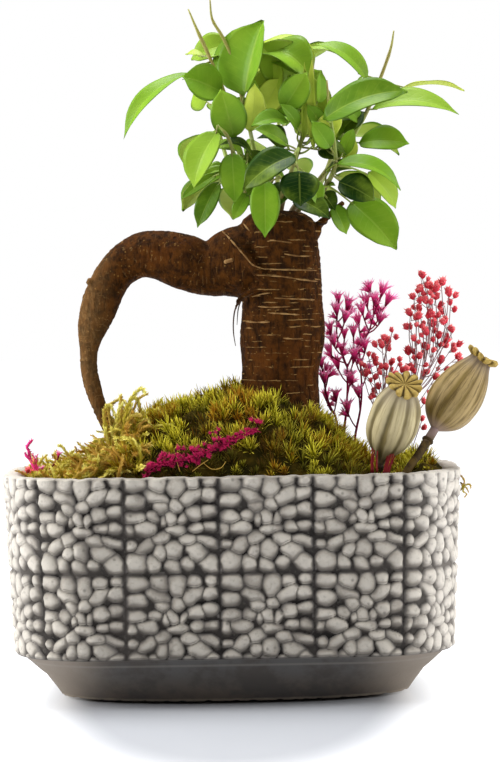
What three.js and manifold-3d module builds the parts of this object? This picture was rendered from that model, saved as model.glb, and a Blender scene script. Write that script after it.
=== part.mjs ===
import * as THREE from 'three';
import Module from 'manifold-3d';

const wasm = await Module();
wasm.setup();

// Driving dimensions, in millimetres. The origin is the centre of the pot's foot, +Z is up.

const POT_LENGTH = 230;
const POT_WIDTH = 134;
const POT_HEIGHT = 114;
const CORNER_RADIUS = 48;
const BAND_BOTTOM = 24;
const BAND_TAPER = 4.4;
const WALL = 8.5;
const RELIEF = 2.7;
const TILE_HEIGHT = 48.5;
const TILE_SEAM_Z = 66.4;
const TILES_AROUND = 14;
const TILE_PHASE = -6.5;
const FOOT_HALF_LENGTH = 88;
const FOOT_HALF_WIDTH = 45;
const FOOT_POWER = 2.5;
const FLOOR_HALF_LENGTH = 79;
const FLOOR_HALF_WIDTH = 37;
const FLOOR_Z = 12;
const CAVITY_KNEE_Z = 27;
const LIP_Z = POT_HEIGHT - 1.4;
const RIM_SHOULDER_Z = POT_HEIGHT - 1;
const PLAIN_SIDES = 32;
const TRUNK_SIDES = 12;
const STEM_SIDES = 5;
const TWIG_SIDES = 4;
const HOLE_SIDES = 6;

const FIT_GAP = 0.3;
const SOIL_TOP = 103;
const SHOOT_SOCKET = 14;
const PEG_BOTTOM = 87;
const ROOM_TOP = 175;
const TRUNK_ROOM = 1.6;
const ROOT_ROOM = 0.8;
const BLADE_THICKNESS = 1.4;

// Height and share of the way from the wall's outline to the foot's oval.
const FOOT_PROFILE = [[23.2, 0.16], [18.6, 0.3], [12.6, 0.6], [8.6, 0.74], [3.4, 0.92], [0, 1]];

const PERIMETER = 2 * (POT_LENGTH + POT_WIDTH - 4 * CORNER_RADIUS) + 2 * Math.PI * CORNER_RADIUS;
const TILE_WIDTH = PERIMETER / TILES_AROUND;

// Pebbles of one flower tile: place from the tile's lower left corner and mean radius.

const PEBBLES = [
  [5.4, 44.6, 4.6], [16.5, 44.2, 4.4], [25.6, 42.9, 4.7], [33.6, 44.6, 3.2], [42.2, 45.1, 2.9],
  [5.1, 35.7, 4.2], [16.2, 36.8, 4.6], [25.7, 33.5, 3.2], [32.9, 37.9, 4.4], [41.4, 38.8, 3.6],
  [4.9, 27.9, 3.8], [14.0, 28.0, 3.0], [23.0, 27.0, 3.3], [36.4, 30.2, 4.4], [9.4, 21.6, 4.1],
  [25.3, 21.5, 3.4], [37.6, 22.9, 3.8], [17.7, 17.0, 3.6], [8.4, 13.8, 4.2], [31.1, 16.9, 3.6],
  [41.0, 15.7, 3.6], [35.8, 9.6, 4.9], [24.6, 10.5, 4.3], [5.4, 5.0, 5.0], [15.2, 6.8, 4.2],
  [29.4, 3.9, 3.0], [42.4, 4.9, 4.6],
];

const COLOURS = {
  concrete: 0xc4beb3,
  soil: 0x3a2a1e,
  moss: 0x8f8a1c,
  bark: 0x5a3f28,
  leaf: 0x5f9a1c,
  magenta: 0xb0246c,
  coral: 0xd0434a,
  poppy: 0xa09a80,
};

const ROUGHNESS = {
  concrete: 0.9, soil: 1.0, moss: 0.95, bark: 0.8, leaf: 0.4, magenta: 0.8, coral: 0.75, poppy: 0.8,
};

// Helpers: solids, sweeps and seeded randomness.

const V = (x, y, z) => new THREE.Vector3(x, y, z);

function seeded(seed) {
  let state = seed >>> 0;
  return () => {
    state = (state * 1664525 + 1013904223) >>> 0;
    return state / 4294967296;
  };
}

function toSolid(points, triangles) {
  const flat = new Float32Array(points.length * 3);
  points.forEach((p, i) => flat.set([p.x, p.y, p.z], 3 * i));
  const triVerts = Uint32Array.from(triangles.flat());
  return new wasm.Manifold(new wasm.Mesh({ numProp: 3, vertProperties: flat, triVerts }));
}

// A direction square to the given one, nearest to the first of two choices that isn't along it.
function squareTo(along, first, second) {
  const choice = Math.abs(along.dot(first)) < 0.9 ? first : second;
  return choice.clone().cross(along).normalize();
}

function solidGeometry(solid) {
  const mesh = solid.getMesh();
  const positions = new Float32Array((mesh.vertProperties.length / mesh.numProp) * 3);
  for (let i = 0; i < positions.length / 3; i += 1) {
    for (let k = 0; k < 3; k += 1) positions[3 * i + k] = mesh.vertProperties[mesh.numProp * i + k];
  }
  const geometry = new THREE.BufferGeometry();
  geometry.setAttribute('position', new THREE.BufferAttribute(positions, 3));
  geometry.setIndex(Array.from(mesh.triVerts));
  geometry.computeVertexNormals();
  return geometry;
}

function union(solids) {
  return solids.reduce((whole, next) => whole.add(next));
}

// Rings of points joined by quads, closed with a fan at each end. Each ring has the same count.
function skin(rings) {
  const count = rings[0].length;
  const points = rings.flat();
  const triangles = [];
  for (let r = 0; r + 1 < rings.length; r += 1) {
    for (let i = 0; i < count; i += 1) {
      const a = r * count + i;
      const b = r * count + ((i + 1) % count);
      triangles.push([a, b, b + count], [a, b + count, a + count]);
    }
  }
  const addCap = (offset, reverse) => {
    for (let i = 1; i + 1 < count; i += 1) {
      const face = [offset, offset + i, offset + i + 1];
      triangles.push(reverse ? face.reverse() : face);
    }
  };
  addCap(0, true);
  addCap((rings.length - 1) * count, false);
  return { points, triangles };
}

// A round tube through the given points. Each point is [x, y, z, radius].
function sweep(path, sides, samples, swell = () => 1) {
  const curve = new THREE.CatmullRomCurve3(path.map((p) => V(p[0], p[1], p[2])), false, 'centripetal');
  const rings = [];
  let side = null;
  for (let k = 0; k <= samples; k += 1) {
    const t = k / samples;
    const at = curve.getPoint(t);
    const along = curve.getTangent(t);
    if (side === null) {
      side = squareTo(along, V(0, 1, 0), V(1, 0, 0));
    } else {
      side.addScaledVector(along, -side.dot(along)).normalize();
    }
    const across = along.clone().cross(side);
    const place = t * (path.length - 1);
    const left = Math.min(Math.floor(place), path.length - 2);
    const mix = place - left;
    const ease = mix * mix * (3 - 2 * mix);
    const radius = path[left][3] * (1 - ease) + path[left + 1][3] * ease;
    const ring = [];
    for (let i = 0; i < sides; i += 1) {
      const angle = (2 * Math.PI * i) / sides;
      const r = radius * swell(angle, t);
      const spoke = at.clone().addScaledVector(side, r * Math.cos(angle));
      ring.push(spoke.addScaledVector(across, r * Math.sin(angle)));
    }
    rings.push(ring);
  }
  const { points, triangles } = skin(rings);
  return toSolid(points, triangles);
}

const part = new THREE.Group();

function addMesh(name, solid, finish) {
  const material = new THREE.MeshStandardMaterial({
    color: COLOURS[finish], roughness: ROUGHNESS[finish], metalness: 0,
  });
  const mesh = new THREE.Mesh(solidGeometry(solid), material);
  mesh.name = name;
  part.add(mesh);
}

// Plan outlines of the pot.

// Point on the rounded rectangle at distance s round it from the middle of the front, moved inwards.
function outlinePoint(s, inset) {
  const halfStraight = POT_LENGTH / 2 - CORNER_RADIUS;
  const sideStraight = POT_WIDTH - 2 * CORNER_RADIUS;
  const arc = (Math.PI / 2) * CORNER_RADIUS;
  const half = PERIMETER / 2;
  const wrapped = ((s % PERIMETER) + PERIMETER) % PERIMETER;
  const mirrored = wrapped > half;
  let d = mirrored ? PERIMETER - wrapped : wrapped;
  const r = CORNER_RADIUS - inset;
  const yc = POT_WIDTH / 2 - CORNER_RADIUS;
  let x = 0;
  let y = 0;
  if (d <= halfStraight) {
    x = d;
    y = -POT_WIDTH / 2 + inset;
  } else if ((d -= halfStraight) <= arc) {
    x = halfStraight + r * Math.sin(d / CORNER_RADIUS);
    y = -yc - r * Math.cos(d / CORNER_RADIUS);
  } else if ((d -= arc) <= sideStraight) {
    x = POT_LENGTH / 2 - inset;
    y = -yc + d;
  } else if ((d -= sideStraight) <= arc) {
    x = halfStraight + r * Math.cos(d / CORNER_RADIUS);
    y = yc + r * Math.sin(d / CORNER_RADIUS);
  } else {
    x = halfStraight - (d - arc);
    y = POT_WIDTH / 2 - inset;
  }
  return [mirrored ? -x : x, y];
}

function bandInset(z) {
  return (BAND_TAPER * (POT_HEIGHT - z)) / (POT_HEIGHT - BAND_BOTTOM);
}

// Oval point in the same direction from the centre as a point of the outline.
function ovalPoint(s, halfLength, halfWidth) {
  const [x, y] = outlinePoint(s, 0);
  const angle = Math.atan2(y, x);
  const c = Math.abs(Math.cos(angle) / halfLength) ** FOOT_POWER;
  const d = Math.abs(Math.sin(angle) / halfWidth) ** FOOT_POWER;
  const reach = (c + d) ** (-1 / FOOT_POWER);
  return [reach * Math.cos(angle), reach * Math.sin(angle)];
}

function plainLoop(z, inset, ovalShare, halfLength, halfWidth) {
  const loop = [];
  for (let i = 0; i < PLAIN_SIDES; i += 1) {
    const s = (PERIMETER * i) / PLAIN_SIDES;
    const [ax, ay] = outlinePoint(s, inset);
    const [bx, by] = ovalPoint(s, halfLength, halfWidth);
    loop.push({ s, p: V(ax + (bx - ax) * ovalShare, ay + (by - ay) * ovalShare, z) });
  }
  return loop;
}

// Pebble cells of one tile column.

// Keep the part of a polygon where a * x + b * y <= c.
function clip(polygon, a, b, c) {
  const kept = [];
  polygon.forEach((p, i) => {
    const q = polygon[(i + 1) % polygon.length];
    const dp = a * p[0] + b * p[1] - c;
    const dq = a * q[0] + b * q[1] - c;
    if (dp <= 0) kept.push(p);
    if (dp * dq < 0) {
      const t = dp / (dp - dq);
      kept.push([p[0] + (q[0] - p[0]) * t, p[1] + (q[1] - p[1]) * t]);
    }
  });
  return kept;
}

function pebbleCells(zLow, zHigh) {
  const sites = [];
  for (let row = -1; row <= 2; row += 1) {
    for (let column = -1; column <= 1; column += 1) {
      PEBBLES.forEach(([u, v, r]) => {
        const z = TILE_SEAM_Z + TILE_HEIGHT * (row - 1) + v;
        sites.push({ u: u + TILE_WIDTH * column, z, r, home: column === 0 });
      });
    }
  }
  const cells = [];
  sites.filter((site) => site.home).forEach((site) => {
    const reach = 20;
    let cell = [[-reach, -reach], [reach, -reach], [reach, reach], [-reach, reach]];
    cell = cell.map(([x, y]) => [site.u + x, site.z + y]);
    cell = clip(clip(cell, 0, -1, -zLow), 0, 1, zHigh);
    sites.forEach((other) => {
      if (other === site || cell.length < 3) return;
      const a = other.u - site.u;
      const b = other.z - site.z;
      const k = other.u ** 2 + other.z ** 2 - other.r ** 2 - site.u ** 2 - site.z ** 2 + site.r ** 2;
      cell = clip(cell, a, b, k / 2);
    });
    if (cell.length >= 3) cells.push({ site, cell });
  });
  return cells;
}

// Corners nearer than this share one vertex, so that no sliver faces are left.
const SNAP = 1.2;

function snappedCells(zLow, zHigh) {
  const cells = pebbleCells(zLow, zHigh);
  const onLine = (z) => Math.abs(z - zLow) < 1e-6 || Math.abs(z - zHigh) < 1e-6;
  const corners = cells.flatMap(({ cell }) => cell);
  const nodes = [];
  const find = ([u, z]) => {
    for (let n = 0; n < nodes.length; n += 1) {
      if (onLine(nodes[n].z) !== onLine(z) && onLine(z)) continue;
      const turns = Math.round((u - nodes[n].u) / TILE_WIDTH);
      const du = u - nodes[n].u - turns * TILE_WIDTH;
      if (Math.hypot(du, z - nodes[n].z) < SNAP) return { node: n, turns };
    }
    return null;
  };
  const ordered = [...corners.filter((c) => onLine(c[1])), ...corners.filter((c) => !onLine(c[1]))];
  ordered.forEach((corner) => {
    if (find(corner) === null) nodes.push({ u: corner[0], z: corner[1] });
  });
  const faces = cells.map(({ site, cell }) => {
    const ids = [];
    cell.forEach((corner) => {
      const hit = find(corner);
      const last = ids[ids.length - 1];
      if (!last || last.node !== hit.node || last.turns !== hit.turns) ids.push(hit);
    });
    const first = ids[0];
    const end = ids[ids.length - 1];
    if (ids.length > 1 && first.node === end.node && first.turns === end.turns) ids.pop();
    return { site, ids };
  });
  return { nodes, faces: faces.filter(({ ids }) => ids.length >= 3) };
}

// Join two closed loops whose points are sorted by the distance round the pot.
function zip(lower, upper, triangles) {
  const m = lower.length;
  const n = upper.length;
  let i = 0;
  let j = 0;
  while (i < m || j < n) {
    const nextLower = lower[(i + 1) % m].s + (i + 1 >= m ? PERIMETER : 0);
    const nextUpper = upper[(j + 1) % n].s + (j + 1 >= n ? PERIMETER : 0);
    if (j >= n || (i < m && nextLower <= nextUpper)) {
      triangles.push([lower[i % m].id, lower[(i + 1) % m].id, upper[j % n].id]);
      i += 1;
    } else {
      triangles.push([lower[i % m].id, upper[(j + 1) % n].id, upper[j % n].id]);
      j += 1;
    }
  }
}

function buildPot() {
  const points = [];
  const triangles = [];
  const put = (p) => points.push(p) - 1;
  const { nodes, faces } = snappedCells(BAND_BOTTOM, RIM_SHOULDER_Z);
  const wall = (u, z, out) => {
    const [x, y] = outlinePoint(u + TILE_PHASE, bandInset(z) - out);
    return V(x, y, z);
  };
  const ids = [];
  for (let tile = 0; tile < TILES_AROUND; tile += 1) {
    nodes.forEach(({ u, z }, n) => {
      ids[tile * nodes.length + n] = put(wall(u + tile * TILE_WIDTH, z, -RELIEF));
    });
  }
  const idOf = (tile, { node, turns }) => {
    const column = (tile + turns + 2 * TILES_AROUND) % TILES_AROUND;
    return ids[column * nodes.length + node];
  };
  for (let tile = 0; tile < TILES_AROUND; tile += 1) {
    faces.forEach(({ ids: corners }) => {
      let u = 0;
      let z = 0;
      corners.forEach(({ node, turns }) => {
        u += (nodes[node].u + turns * TILE_WIDTH) / corners.length;
        z += nodes[node].z / corners.length;
      });
      const top = put(wall(u + tile * TILE_WIDTH, z, 0));
      corners.forEach((corner, k) => {
        triangles.push([idOf(tile, corner), idOf(tile, corners[(k + 1) % corners.length]), top]);
      });
    });
  }
  const edgeLoop = (level) => {
    const loop = [];
    for (let tile = 0; tile < TILES_AROUND; tile += 1) {
      nodes.forEach(({ u, z }, n) => {
        if (Math.abs(z - level) > 1e-6) return;
        const s = u + TILE_PHASE + tile * TILE_WIDTH;
        loop.push({ s: ((s % PERIMETER) + PERIMETER) % PERIMETER, id: ids[tile * nodes.length + n] });
      });
    }
    return loop.sort((a, b) => a.s - b.s);
  };
  const add = (loop) => loop.map(({ s, p }) => ({ s, id: put(p) }));
  const oval = [FOOT_HALF_LENGTH, FOOT_HALF_WIDTH];
  const rim = [
    edgeLoop(RIM_SHOULDER_Z),
    add(plainLoop(POT_HEIGHT, 1.6, 0, ...oval)),
    add(plainLoop(POT_HEIGHT - 0.4, WALL - 0.8, 0, ...oval)),
    add(plainLoop(LIP_Z, WALL, 0, ...oval)),
    add(plainLoop(CAVITY_KNEE_Z, WALL + BAND_TAPER, 0, ...oval)),
    add(plainLoop(FLOOR_Z, WALL + BAND_TAPER, 1, FLOOR_HALF_LENGTH, FLOOR_HALF_WIDTH)),
  ];
  const footLoops = FOOT_PROFILE.map(([z, share]) => add(plainLoop(z, BAND_TAPER + RELIEF, share, ...oval)));
  const foot = [edgeLoop(BAND_BOTTOM), ...footLoops];
  for (let k = 0; k + 1 < rim.length; k += 1) zip(rim[k], rim[k + 1], triangles);
  for (let k = 0; k + 1 < foot.length; k += 1) zip(foot[k + 1], foot[k], triangles);
  const closeFlat = (loop, z, up) => {
    const middle = put(V(0, 0, z));
    loop.forEach(({ id }, k) => {
      const next = loop[(k + 1) % loop.length].id;
      triangles.push(up ? [id, next, middle] : [next, id, middle]);
    });
  };
  closeFlat(rim[rim.length - 1], FLOOR_Z, true);
  closeFlat(foot[foot.length - 1], 0, false);
  return toSolid(points, triangles);
}

addMesh('pot', buildPot(), 'concrete');

// Trunk with its arching aerial root. Each point is [x, y, z, radius].

const TRUNK_PATH = [
  [24, 0, 68, 9], [24, 0, 84, 18], [25, 0, 112, 22], [25, 0, 140, 20.6], [25.2, 0, 160, 19.6],
  [26, 0, 180, 21.4], [26.2, 0, 198, 20.4], [26, 0, 220, 21], [25.4, 0, 232, 20], [25, 0, 239, 17.5],
  [25, 0, 243.5, 11],
];
const ARCH_PATH = [
  [24, 0, 213, 15], [6, 0, 217.5, 18.6], [-10.8, -1, 214.3, 13.4], [-22.4, -1, 218, 13.9],
  [-34.5, 0, 221.7, 12.4], [-45.1, 1, 221.6, 11.2], [-54.8, 2, 216, 9.8], [-61.6, 2, 207.5, 9.4],
  [-66.3, 1, 196, 9.3], [-69.6, 0, 185.9, 7.4], [-71.3, -1, 175.8, 5], [-71.5, -2, 166.2, 4.3],
  [-69.6, -3, 156.5, 4], [-66.7, -4, 147.3, 3.7], [-62.9, -5, 138.1, 3.4], [-59, -6, 130, 3.2],
  [-55, -7, 118, 3.3], [-50, -8, 100, 3.6], [-46, -9, 84, 2.4],
];
const RIDGE_PATH = [
  [-8, -9, 226, 3], [2, -16.5, 229, 3.4], [11, -19, 219, 3.6], [18, -20, 209, 3.2],
  [10, -19, 203, 3], [0, -15, 201, 2.6], [-10, -9, 203, 2],
];
const SPUR_PATH = [[38, -2, 229, 4], [45.5, -2, 232, 3], [48, -2, 235, 1.6]];
const STUB_PATH = [[40, -1, 231, 3], [49.5, -1, 239, 2.4], [59, 0, 247.6, 1.8]];

function barkSwell(depth) {
  return (angle, t) => {
    const waves = 0.55 * Math.cos(3 * angle + 9 * t) + 0.45 * Math.cos(2 * angle - 14 * t + 1);
    return 1 + depth * waves;
  };
}

function trunkSolid() {
  return union([
    sweep(TRUNK_PATH, TRUNK_SIDES, TRUNK_PATH.length - 1, barkSwell(0.03)),
    sweep(ARCH_PATH, 10, ARCH_PATH.length - 1, barkSwell(0.04)),
    sweep(RIDGE_PATH, STEM_SIDES, RIDGE_PATH.length - 1),
    sweep(SPUR_PATH, STEM_SIDES, SPUR_PATH.length - 1),
    sweep(STUB_PATH, STEM_SIDES, STUB_PATH.length - 1),
  ]);
}

// Room round the lower part of the trunk or of the root, with a little play.
function growthRoom(path, extra) {
  return sweep(path.map(([x, y, z, r]) => [x, y, z - FIT_GAP, r + extra]), TRUNK_SIDES, path.length - 1);
}

// Leafy shoots, grafted into the top of the trunk.
// A leaf is [base, tip, width, direction its upper face looks, arch as a share of its length].

const FRONT = [0, -1, 0.25];
const SKY = [0, -0.4, 1];
const BACK = [0, 0.7, 0.7];

const SHOOTS = {
  left: {
    stem: [
      [17, -2, 244, 2], [10, -5, 260, 1.7], [5, -7, 279, 1.5], [1, -6, 297, 1.3], [-2, -5, 308, 1.2],
      [-5, -3, 315, 1.1], [-10, 0, 327, 1.4], [-14, 0, 336, 1], [-18, 2, 346, 0.5],
    ],
    leaves: [
      [[-13, -4, 314], [-52, -12, 283], 16, [-0.35, -0.5, 0.8], 0.13],
      [[-3, -10, 303], [-22, -16, 312], 16, [0.1, -0.9, 0.5], 0.06],
      [[-11, 3, 322], [-20, 7, 324], 7, SKY, 0.1],
      [[4, -17, 280], [-2, -22, 304], 17, FRONT, 0.05],
      [[0, -9, 265], [-13, -12, 257], 9, [-0.3, -0.8, 0.5], 0.08],
      [[9, -13, 271], [-6, -20, 276], 11, [0, -0.6, 0.8], 0.15],
    ],
  },
  top: {
    stem: [
      [20, 5, 244, 2], [16, 4, 264, 1.7], [12, 2, 285, 1.4], [8, 1, 302, 1.2], [4, 2, 320, 1.1],
      [-1, 4, 332, 1.2], [-6, 5, 341, 0.9], [-7, 5, 351, 0.5],
    ],
    leaves: [
      [[10, -6, 302], [20, -1, 339], 24, [-0.3, -1, 0.1], 0.06],
      [[0, 8, 321], [-8, 15, 333], 11, [-0.5, -0.8, 0.3], 0.05],
      [[12, -8, 284], [15, -14, 309], 9, [0.2, -1, 0.1], 0.08],
      [[20, 2, 296], [15, 12, 314], 14, [0, -0.7, 0.7], 0.08],
    ],
  },
  centre: {
    stem: [
      [27, -2, 244, 2], [32, -6, 261, 1.7], [38, -8, 279, 1.5], [42, -6, 297, 1.6], [44, -4, 310, 1.3],
      [44, -2, 321, 0.6],
    ],
    leaves: [
      [[45, 5, 316], [20, 14, 331], 15, [-0.1, -0.5, 0.9], 0.16],
      [[40, -4, 312], [22, 5, 320], 10, [-0.2, -0.6, 0.8], 0.12],
      [[29, -14, 294], [41, -15, 312], 14, [0.2, -1, 0.2], 0.05],
      [[31, -18, 288], [13, -28, 286], 11, [0, -0.7, 0.7], 0.12],
      [[36, -15, 284], [28, -24, 296], 8, [0, -0.8, 0.6], 0.1],
      [[47, -8, 297], [48, -7, 312], 8, [0.7, -0.7, 0.1], 0.05],
    ],
  },
  right: {
    stem: [
      [33, 4, 244, 2], [46, 7, 258, 1.8], [59, 8, 274, 1.6], [67, 9, 285, 1.5], [73, 9, 296, 1.4],
      [78, 9, 308, 1.3], [84, 9, 324, 1], [86, 9, 334, 0.5],
    ],
    leaves: [
      [[71, 6, 310], [44, 12, 330], 15, [0.1, -0.6, 0.8], 0.22],
      [[70, 15, 312], [38, 24, 327], 9, [0, -0.3, 1], 0.16],
      [[80, -1, 294], [119, -10, 291], 14, [0.1, -0.5, 0.9], 0.15],
      [[90, 13, 305], [122, 16, 305], 13, [0, -0.05, 1], 0.08],
      [[72, -1, 276], [93, -8, 276], 13, [0.1, -0.8, 0.6], 0.08],
      [[68, 0, 288], [56, -6, 298], 9, [-0.2, -0.8, 0.6], 0.06],
    ],
  },
  low_right: {
    stem: [
      [36, -5, 244, 2], [46, -13, 250, 1.8], [54, -17, 264, 1.5], [54, -18, 277, 1.3], [52, -16, 292, 1.2],
      [51, -14, 308, 0.5],
    ],
    leaves: [
      [[54, -24, 287], [94, -27, 298], 17, [-0.1, -0.8, 0.6], 0.12],
      [[50, -12, 283], [41, -16, 296], 8, FRONT, 0.05],
      [[52, -23, 274], [43, -28, 287], 10, FRONT, 0.06],
      [[58, -12, 270], [64, -9, 284], 7, FRONT, 0.05],
      [[59, -22, 264], [89, -22, 251], 13, [0.3, -0.6, 0.8], 0.18],
      [[66, -11, 262], [82, -9, 243], 13, [0.5, -0.8, 0.4], 0.08],
      [[54, -25, 254], [71, -30, 245], 15, [0.2, -0.9, 0.4], 0.06],
      [[60, -17, 246], [82, -30, 223], 19, [0.2, -1, 0.3], 0.08],
      [[53, -12, 246], [60, -11, 231], 9, [0.3, -1, 0.2], 0.05],
    ],
  },
  low_left: {
    stem: [
      [15, -8, 244, 2], [10, -18, 253, 1.7], [5, -25, 268, 1.4], [1, -27, 280, 1.2], [-4, -27, 286, 0.6],
    ],
    leaves: [
      [[-2, -26, 281], [-14, -29, 253], 18, [-0.5, -0.9, 0.3], 0.1],
      [[-5, -19, 262], [-23, -22, 250], 6, [-0.2, -0.9, 0.4], 0.05],
      [[-1, -19, 256], [-13, -24, 236], 10, [-0.3, -1, 0.2], 0.08],
      [[3, -28, 272], [4, -35, 247], 13, FRONT, 0.08],
      [[10, -24, 252], [3, -27, 239], 7, FRONT, 0.06],
    ],
  },
  front: {
    stem: [
      [24, -10, 244, 2], [27, -24, 250, 1.7], [32, -32, 262, 1.4], [36, -33, 274, 0.9],
    ],
    leaves: [
      [[34, -38, 270], [8, -46, 254], 17, [-0.1, -0.8, 0.6], 0.12],
      [[21, -34, 257], [21, -42, 230], 14, FRONT, 0.08],
      [[36, -42, 262], [36, -47, 245], 18, [0, -1, 0.1], 0.04],
      [[33, -31, 249], [49, -38, 240], 10, [0.2, -0.7, 0.7], 0.1],
      [[43, -33, 258], [45, -38, 245], 8, [0.3, -1, 0.1], 0.06],
      [[31, -29, 275], [14, -34, 284], 10, [0, -0.7, 0.7], 0.1],
    ],
  },
  back_left: {
    stem: [[15, 10, 244, 2], [6, 20, 256, 1.7], [-2, 30, 278, 1.4], [-6, 36, 302, 0.7]],
    leaves: [
      [[-8, 34, 284], [-36, 42, 270], 17, [-0.4, 0.5, 0.8], 0.12],
      [[-2, 38, 294], [0, 64, 300], 16, BACK, 0.1],
      [[-12, 36, 304], [-28, 42, 326], 15, [-0.5, 0.7, 0.4], 0.08],
      [[-2, 28, 262], [-24, 38, 246], 16, [-0.6, 0.7, 0.4], 0.1],
      [[4, 28, 256], [2, 52, 242], 15, [-0.1, 0.9, 0.5], 0.08],
    ],
  },
  back_right: {
    stem: [[34, 12, 244, 2], [47, 24, 256, 1.7], [56, 34, 278, 1.4], [60, 40, 300, 0.7]],
    leaves: [
      [[63, 37, 284], [90, 44, 274], 17, [0.4, 0.5, 0.8], 0.12],
      [[56, 42, 290], [52, 68, 286], 16, BACK, 0.1],
      [[64, 42, 304], [80, 48, 326], 16, [0.5, 0.7, 0.4], 0.08],
      [[56, 30, 262], [80, 38, 246], 16, [0.6, 0.7, 0.4], 0.1],
      [[48, 32, 256], [48, 56, 242], 15, [0.1, 0.9, 0.5], 0.08],
    ],
  },
  back_top: {
    stem: [[25, 12, 244, 2], [26, 24, 262, 1.7], [27, 30, 288, 1.4], [28, 32, 316, 0.7]],
    leaves: [
      [[22, 34, 276], [12, 58, 270], 17, BACK, 0.12],
      [[31, 36, 288], [34, 62, 300], 17, BACK, 0.1],
      [[26, 37, 312], [18, 56, 332], 16, [-0.2, 0.9, 0.3], 0.08],
      [[33, 32, 312], [56, 34, 330], 15, [0.3, 0.3, 0.9], 0.12],
      [[21, 28, 298], [-2, 28, 316], 15, [-0.3, 0.2, 0.9], 0.12],
      [[32, 30, 268], [42, 50, 262], 15, [0.2, 0.8, 0.6], 0.1],
    ],
  },
};

// Half width and thickness of a blade along its length, as shares.
const BLADE_SHAPE = [[0, 0.12, 0.8], [0.3, 0.9, 1], [0.68, 0.82, 0.9], [1, 0.04, 0.45]];
const BLADE_FOLD = 0.3;
const PETIOLE_RADIUS = 0.7;
const PETIOLE_SLANT = 5;

// The point nearest to the target on the bent line of a stem.
function nearestOn(stem, target) {
  const corners = stem.map((p) => V(p[0], p[1], p[2]));
  let best = corners[0];
  for (let k = 0; k + 1 < corners.length; k += 1) {
    const point = new THREE.Line3(corners[k], corners[k + 1]).closestPointToPoint(target, true, V(0, 0, 0));
    if (point.distanceTo(target) < best.distanceTo(target)) best = point;
  }
  return best;
}

// A blade and its petiole in one skin: a midrib, two raised edges and a sharp margin.
function leafSolid(stem, [baseAt, tipAt, width, faceTo, arch]) {
  const base = V(...baseAt);
  const tip = V(...tipAt);
  const along = tip.clone().sub(base);
  const length = along.length();
  along.normalize();
  const side = along.clone().cross(V(...faceTo)).normalize();
  const lift = side.clone().cross(along);
  const ring = (middle, half, thick, edge) => {
    const spot = (across, up) => middle.clone().addScaledVector(side, across).addScaledVector(lift, up);
    return [spot(0, thick / 2), spot(half, edge), spot(0, -thick / 2), spot(-half, edge)];
  };
  const root = nearestOn(stem, base.clone().addScaledVector(along, -PETIOLE_SLANT));
  const rings = [ring(root, PETIOLE_RADIUS, 2 * PETIOLE_RADIUS, 0)];
  BLADE_SHAPE.forEach(([t, share, thickShare]) => {
    const half = (width / 2) * share;
    const middle = base.clone().addScaledVector(along, length * t);
    middle.addScaledVector(lift, 4 * arch * length * t * (1 - t));
    rings.push(ring(middle, half, BLADE_THICKNESS * thickShare, BLADE_FOLD * half));
  });
  const { points, triangles } = skin(rings);
  return toSolid(points, triangles);
}

function shootSolid({ stem, leaves }) {
  const [x, y, z, r] = stem[0];
  const path = [[x, y, z - SHOOT_SOCKET, r], ...stem];
  const solids = [sweep(path, STEM_SIDES, path.length - 1)];
  leaves.forEach((leaf) => solids.push(leafSolid(stem, leaf)));
  return union(solids);
}

// Room in the trunk for the foot of a shoot.
function shootRoom({ stem }) {
  const [x, y, z, r] = stem[0];
  const wide = r + 2.5 * FIT_GAP;
  return sweep([[x, y, z - SHOOT_SOCKET - FIT_GAP, wide], [x, y, z + SHOOT_SOCKET, wide]], HOLE_SIDES, 1);
}

function largestBody(solid) {
  return solid.decompose().reduce((best, next) => (next.volume() > best.volume() ? next : best));
}

const shoots = Object.entries(SHOOTS).map(([name, shoot]) => ({ name, shoot, solid: shootSolid(shoot) }));
const trunkCut = shoots.reduce((solid, { shoot }) => solid.subtract(shootRoom(shoot)), trunkSolid());
addMesh('trunk', largestBody(trunkCut), 'bark');
shoots.forEach(({ name, solid }) => addMesh(`shoot_${name}`, solid, 'leaf'));

// Dried flowers. Stems are [x, y, z, radius]; a calyx or pod is its middle point.

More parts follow.
